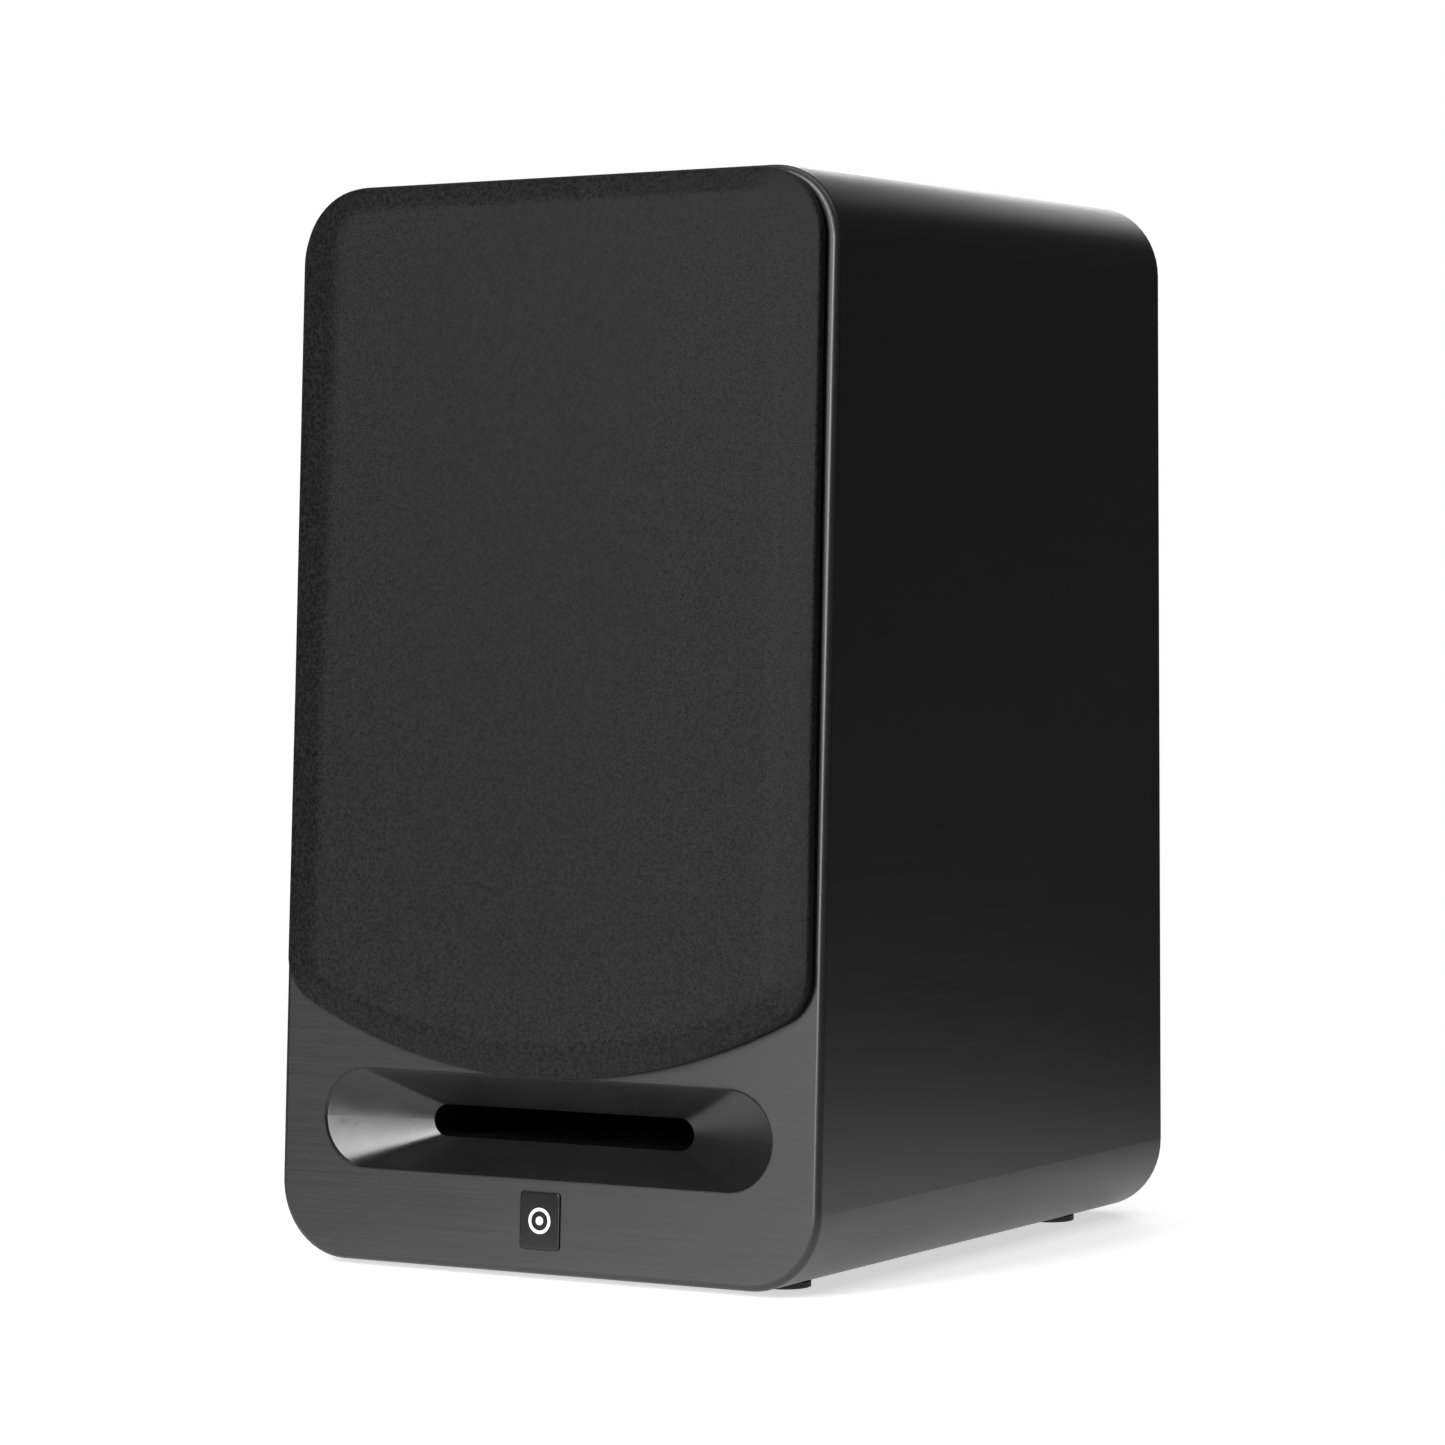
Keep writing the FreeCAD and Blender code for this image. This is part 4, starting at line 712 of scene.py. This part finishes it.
def make_wadding(materials):
    """A soft block of filling, its faces lumpy and its edges and corners pulled in."""
    low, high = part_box("damping_wadding")
    middle, half = (low + high) / 2, (high - low) / 2
    vertices, faces, index = [], [], {}

    def corner(place):
        if place not in index:
            index[place] = len(vertices)
            share = Vector([2 * step / count - 1 for step, count in zip(place, FILL_CUTS)])
            x, y, z = (along**4 for along in share)
            pull = 1 - FILL_PULL * (x * y + x * z + y * z)
            spot = Vector([s * h for s, h in zip(share, half)]) * pull
            lump = sum(noise.noise(spot * fineness) * height for fineness, height in FILL_LUMPS)
            vertices.append(middle + spot - share.normalized() * (FILL_INSET - lump))
        return index[place]

    for axis in range(3):
        first, second = [other for other in range(3) if other != axis]
        for end in (0, FILL_CUTS[axis]):
            for u in range(FILL_CUTS[first]):
                for v in range(FILL_CUTS[second]):
                    loop = []
                    for a, b in ((u, v), (u + 1, v), (u + 1, v + 1), (u, v + 1)):
                        place = [0, 0, 0]
                        place[axis], place[first], place[second] = end, a, b
                        loop.append(corner(tuple(place)))
                    outward = (end == 0) == (axis == 1)
                    faces.append(tuple(loop) if outward else tuple(reversed(loop)))
    pad = new_piece("wadding_fill", vertices, faces, materials["wadding"])
    smooth = pad.modifiers.new("soft", "SUBSURF")
    smooth.levels = smooth.render_levels = 1
    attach(pad, "cabinet")
    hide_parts("damping_wadding")


# ---------------------------------------------------------------- camera, lights, floor


def make_camera():
    turned_to = Euler((0, 0, math.radians(BEARING))).to_matrix()
    pitched = Euler((math.radians(90 - DIP), 0, 0)).to_matrix()
    tilted = Euler((0, 0, math.radians(TILT))).to_matrix()
    axes = turned_to @ pitched @ tilted
    aim = CENTRE + axes @ Vector((AIM_RIGHT, AIM_UP, 0))
    camera = bpy.data.objects.new("camera", bpy.data.cameras.new("camera"))
    camera.data.lens = LENS
    camera.data.sensor_width = SENSOR
    camera.data.clip_start = NEAREST_SEEN
    camera.matrix_world = Matrix.Translation(aim + axes @ Vector((0, 0, DISTANCE))) @ axes.to_4x4()
    bpy.context.scene.collection.objects.link(camera)
    bpy.context.scene.camera = camera


def make_softbox(name, bearing, height, distance, width, tall, power):
    light = bpy.data.lights.new(name, "AREA")
    light.shape = "RECTANGLE"
    light.size, light.size_y = width, tall
    light.energy = power
    softbox = bpy.data.objects.new(name, light)
    angle = math.radians(bearing)
    softbox.location = (distance * math.sin(angle), -distance * math.cos(angle), height)
    aim = CENTRE - softbox.location
    softbox.rotation_euler = aim.to_track_quat("-Z", "Y").to_euler()
    softbox.visible_camera = False
    bpy.context.scene.collection.objects.link(softbox)


def make_sky():
    """White behind everything, and an evenly dim room in reflections."""
    world = bpy.data.worlds.new("studio")
    bpy.context.scene.world = world
    world.use_nodes = True
    tree = world.node_tree
    tree.nodes.clear()
    output = tree.nodes.new("ShaderNodeOutputWorld")
    mix = tree.nodes.new("ShaderNodeMixShader")
    seen = tree.nodes.new("ShaderNodeLightPath")
    white = tree.nodes.new("ShaderNodeBackground")
    room = tree.nodes.new("ShaderNodeBackground")
    for background, strength in ((white, 1.0), (room, ROOM_GLOW)):
        background.inputs["Color"].default_value = (1, 1, 1, 1)
        background.inputs["Strength"].default_value = strength
    links = tree.links
    links.new(seen.outputs["Is Camera Ray"], mix.inputs[0])
    links.new(room.outputs[0], mix.inputs[1])
    links.new(white.outputs[0], mix.inputs[2])
    links.new(mix.outputs[0], output.inputs["Surface"])


def make_floor():
    """A pale round floor with a glow of its own, that fades into the white behind it."""
    finish = Finish("studio_floor", Roughness=0.7, Emission_Strength=FLOOR_GLOW)
    distance = finish.add("ShaderNodeVectorMath", {0: finish.place}, operation="LENGTH")
    fade = finish.remap(distance.outputs["Value"], FLOOR_FADES_FROM, FLOOR_FADES_TO, 1.0, 0.0)
    speckle = finish.noise(finish.place, 900.0, 2.0)
    finish.relief(speckle, 0.0001, 0.2)
    finish.shader.inputs["Emission Color"].default_value = (1, 1, 1, 1)
    finish.tree.links.new(fade, finish.shader.inputs["Alpha"])
    material = finish.paint(finish.colours(speckle, (0.86, 0.86, 0.86), (0.9, 0.9, 0.9)))
    points = []
    for radius in FLOOR_RADII:
        for side in range(FLOOR_SIDES):
            angle = 2 * math.pi * side / FLOOR_SIDES
            points.append((radius * math.cos(angle), radius * math.sin(angle), LOW.z))
    faces = [tuple(range(FLOOR_SIDES))] + band(len(FLOOR_RADII), FLOOR_SIDES)
    floor = new_piece("floor", points, faces, material, smooth=False)


def make_stage():
    bpy.context.scene.view_settings.view_transform = "Standard"
    make_camera()
    make_sky()
    make_floor()
    for name, box in SOFTBOXES.items():
        make_softbox(name, **box)


make_stage()
finishes = make_materials()
paint_cad_nodes(finishes)
make_grille_cloth(finishes)
make_woofer_surround(finishes)
make_woofer_spider(finishes)
make_tweeter_surround(finishes)
make_wadding(finishes)
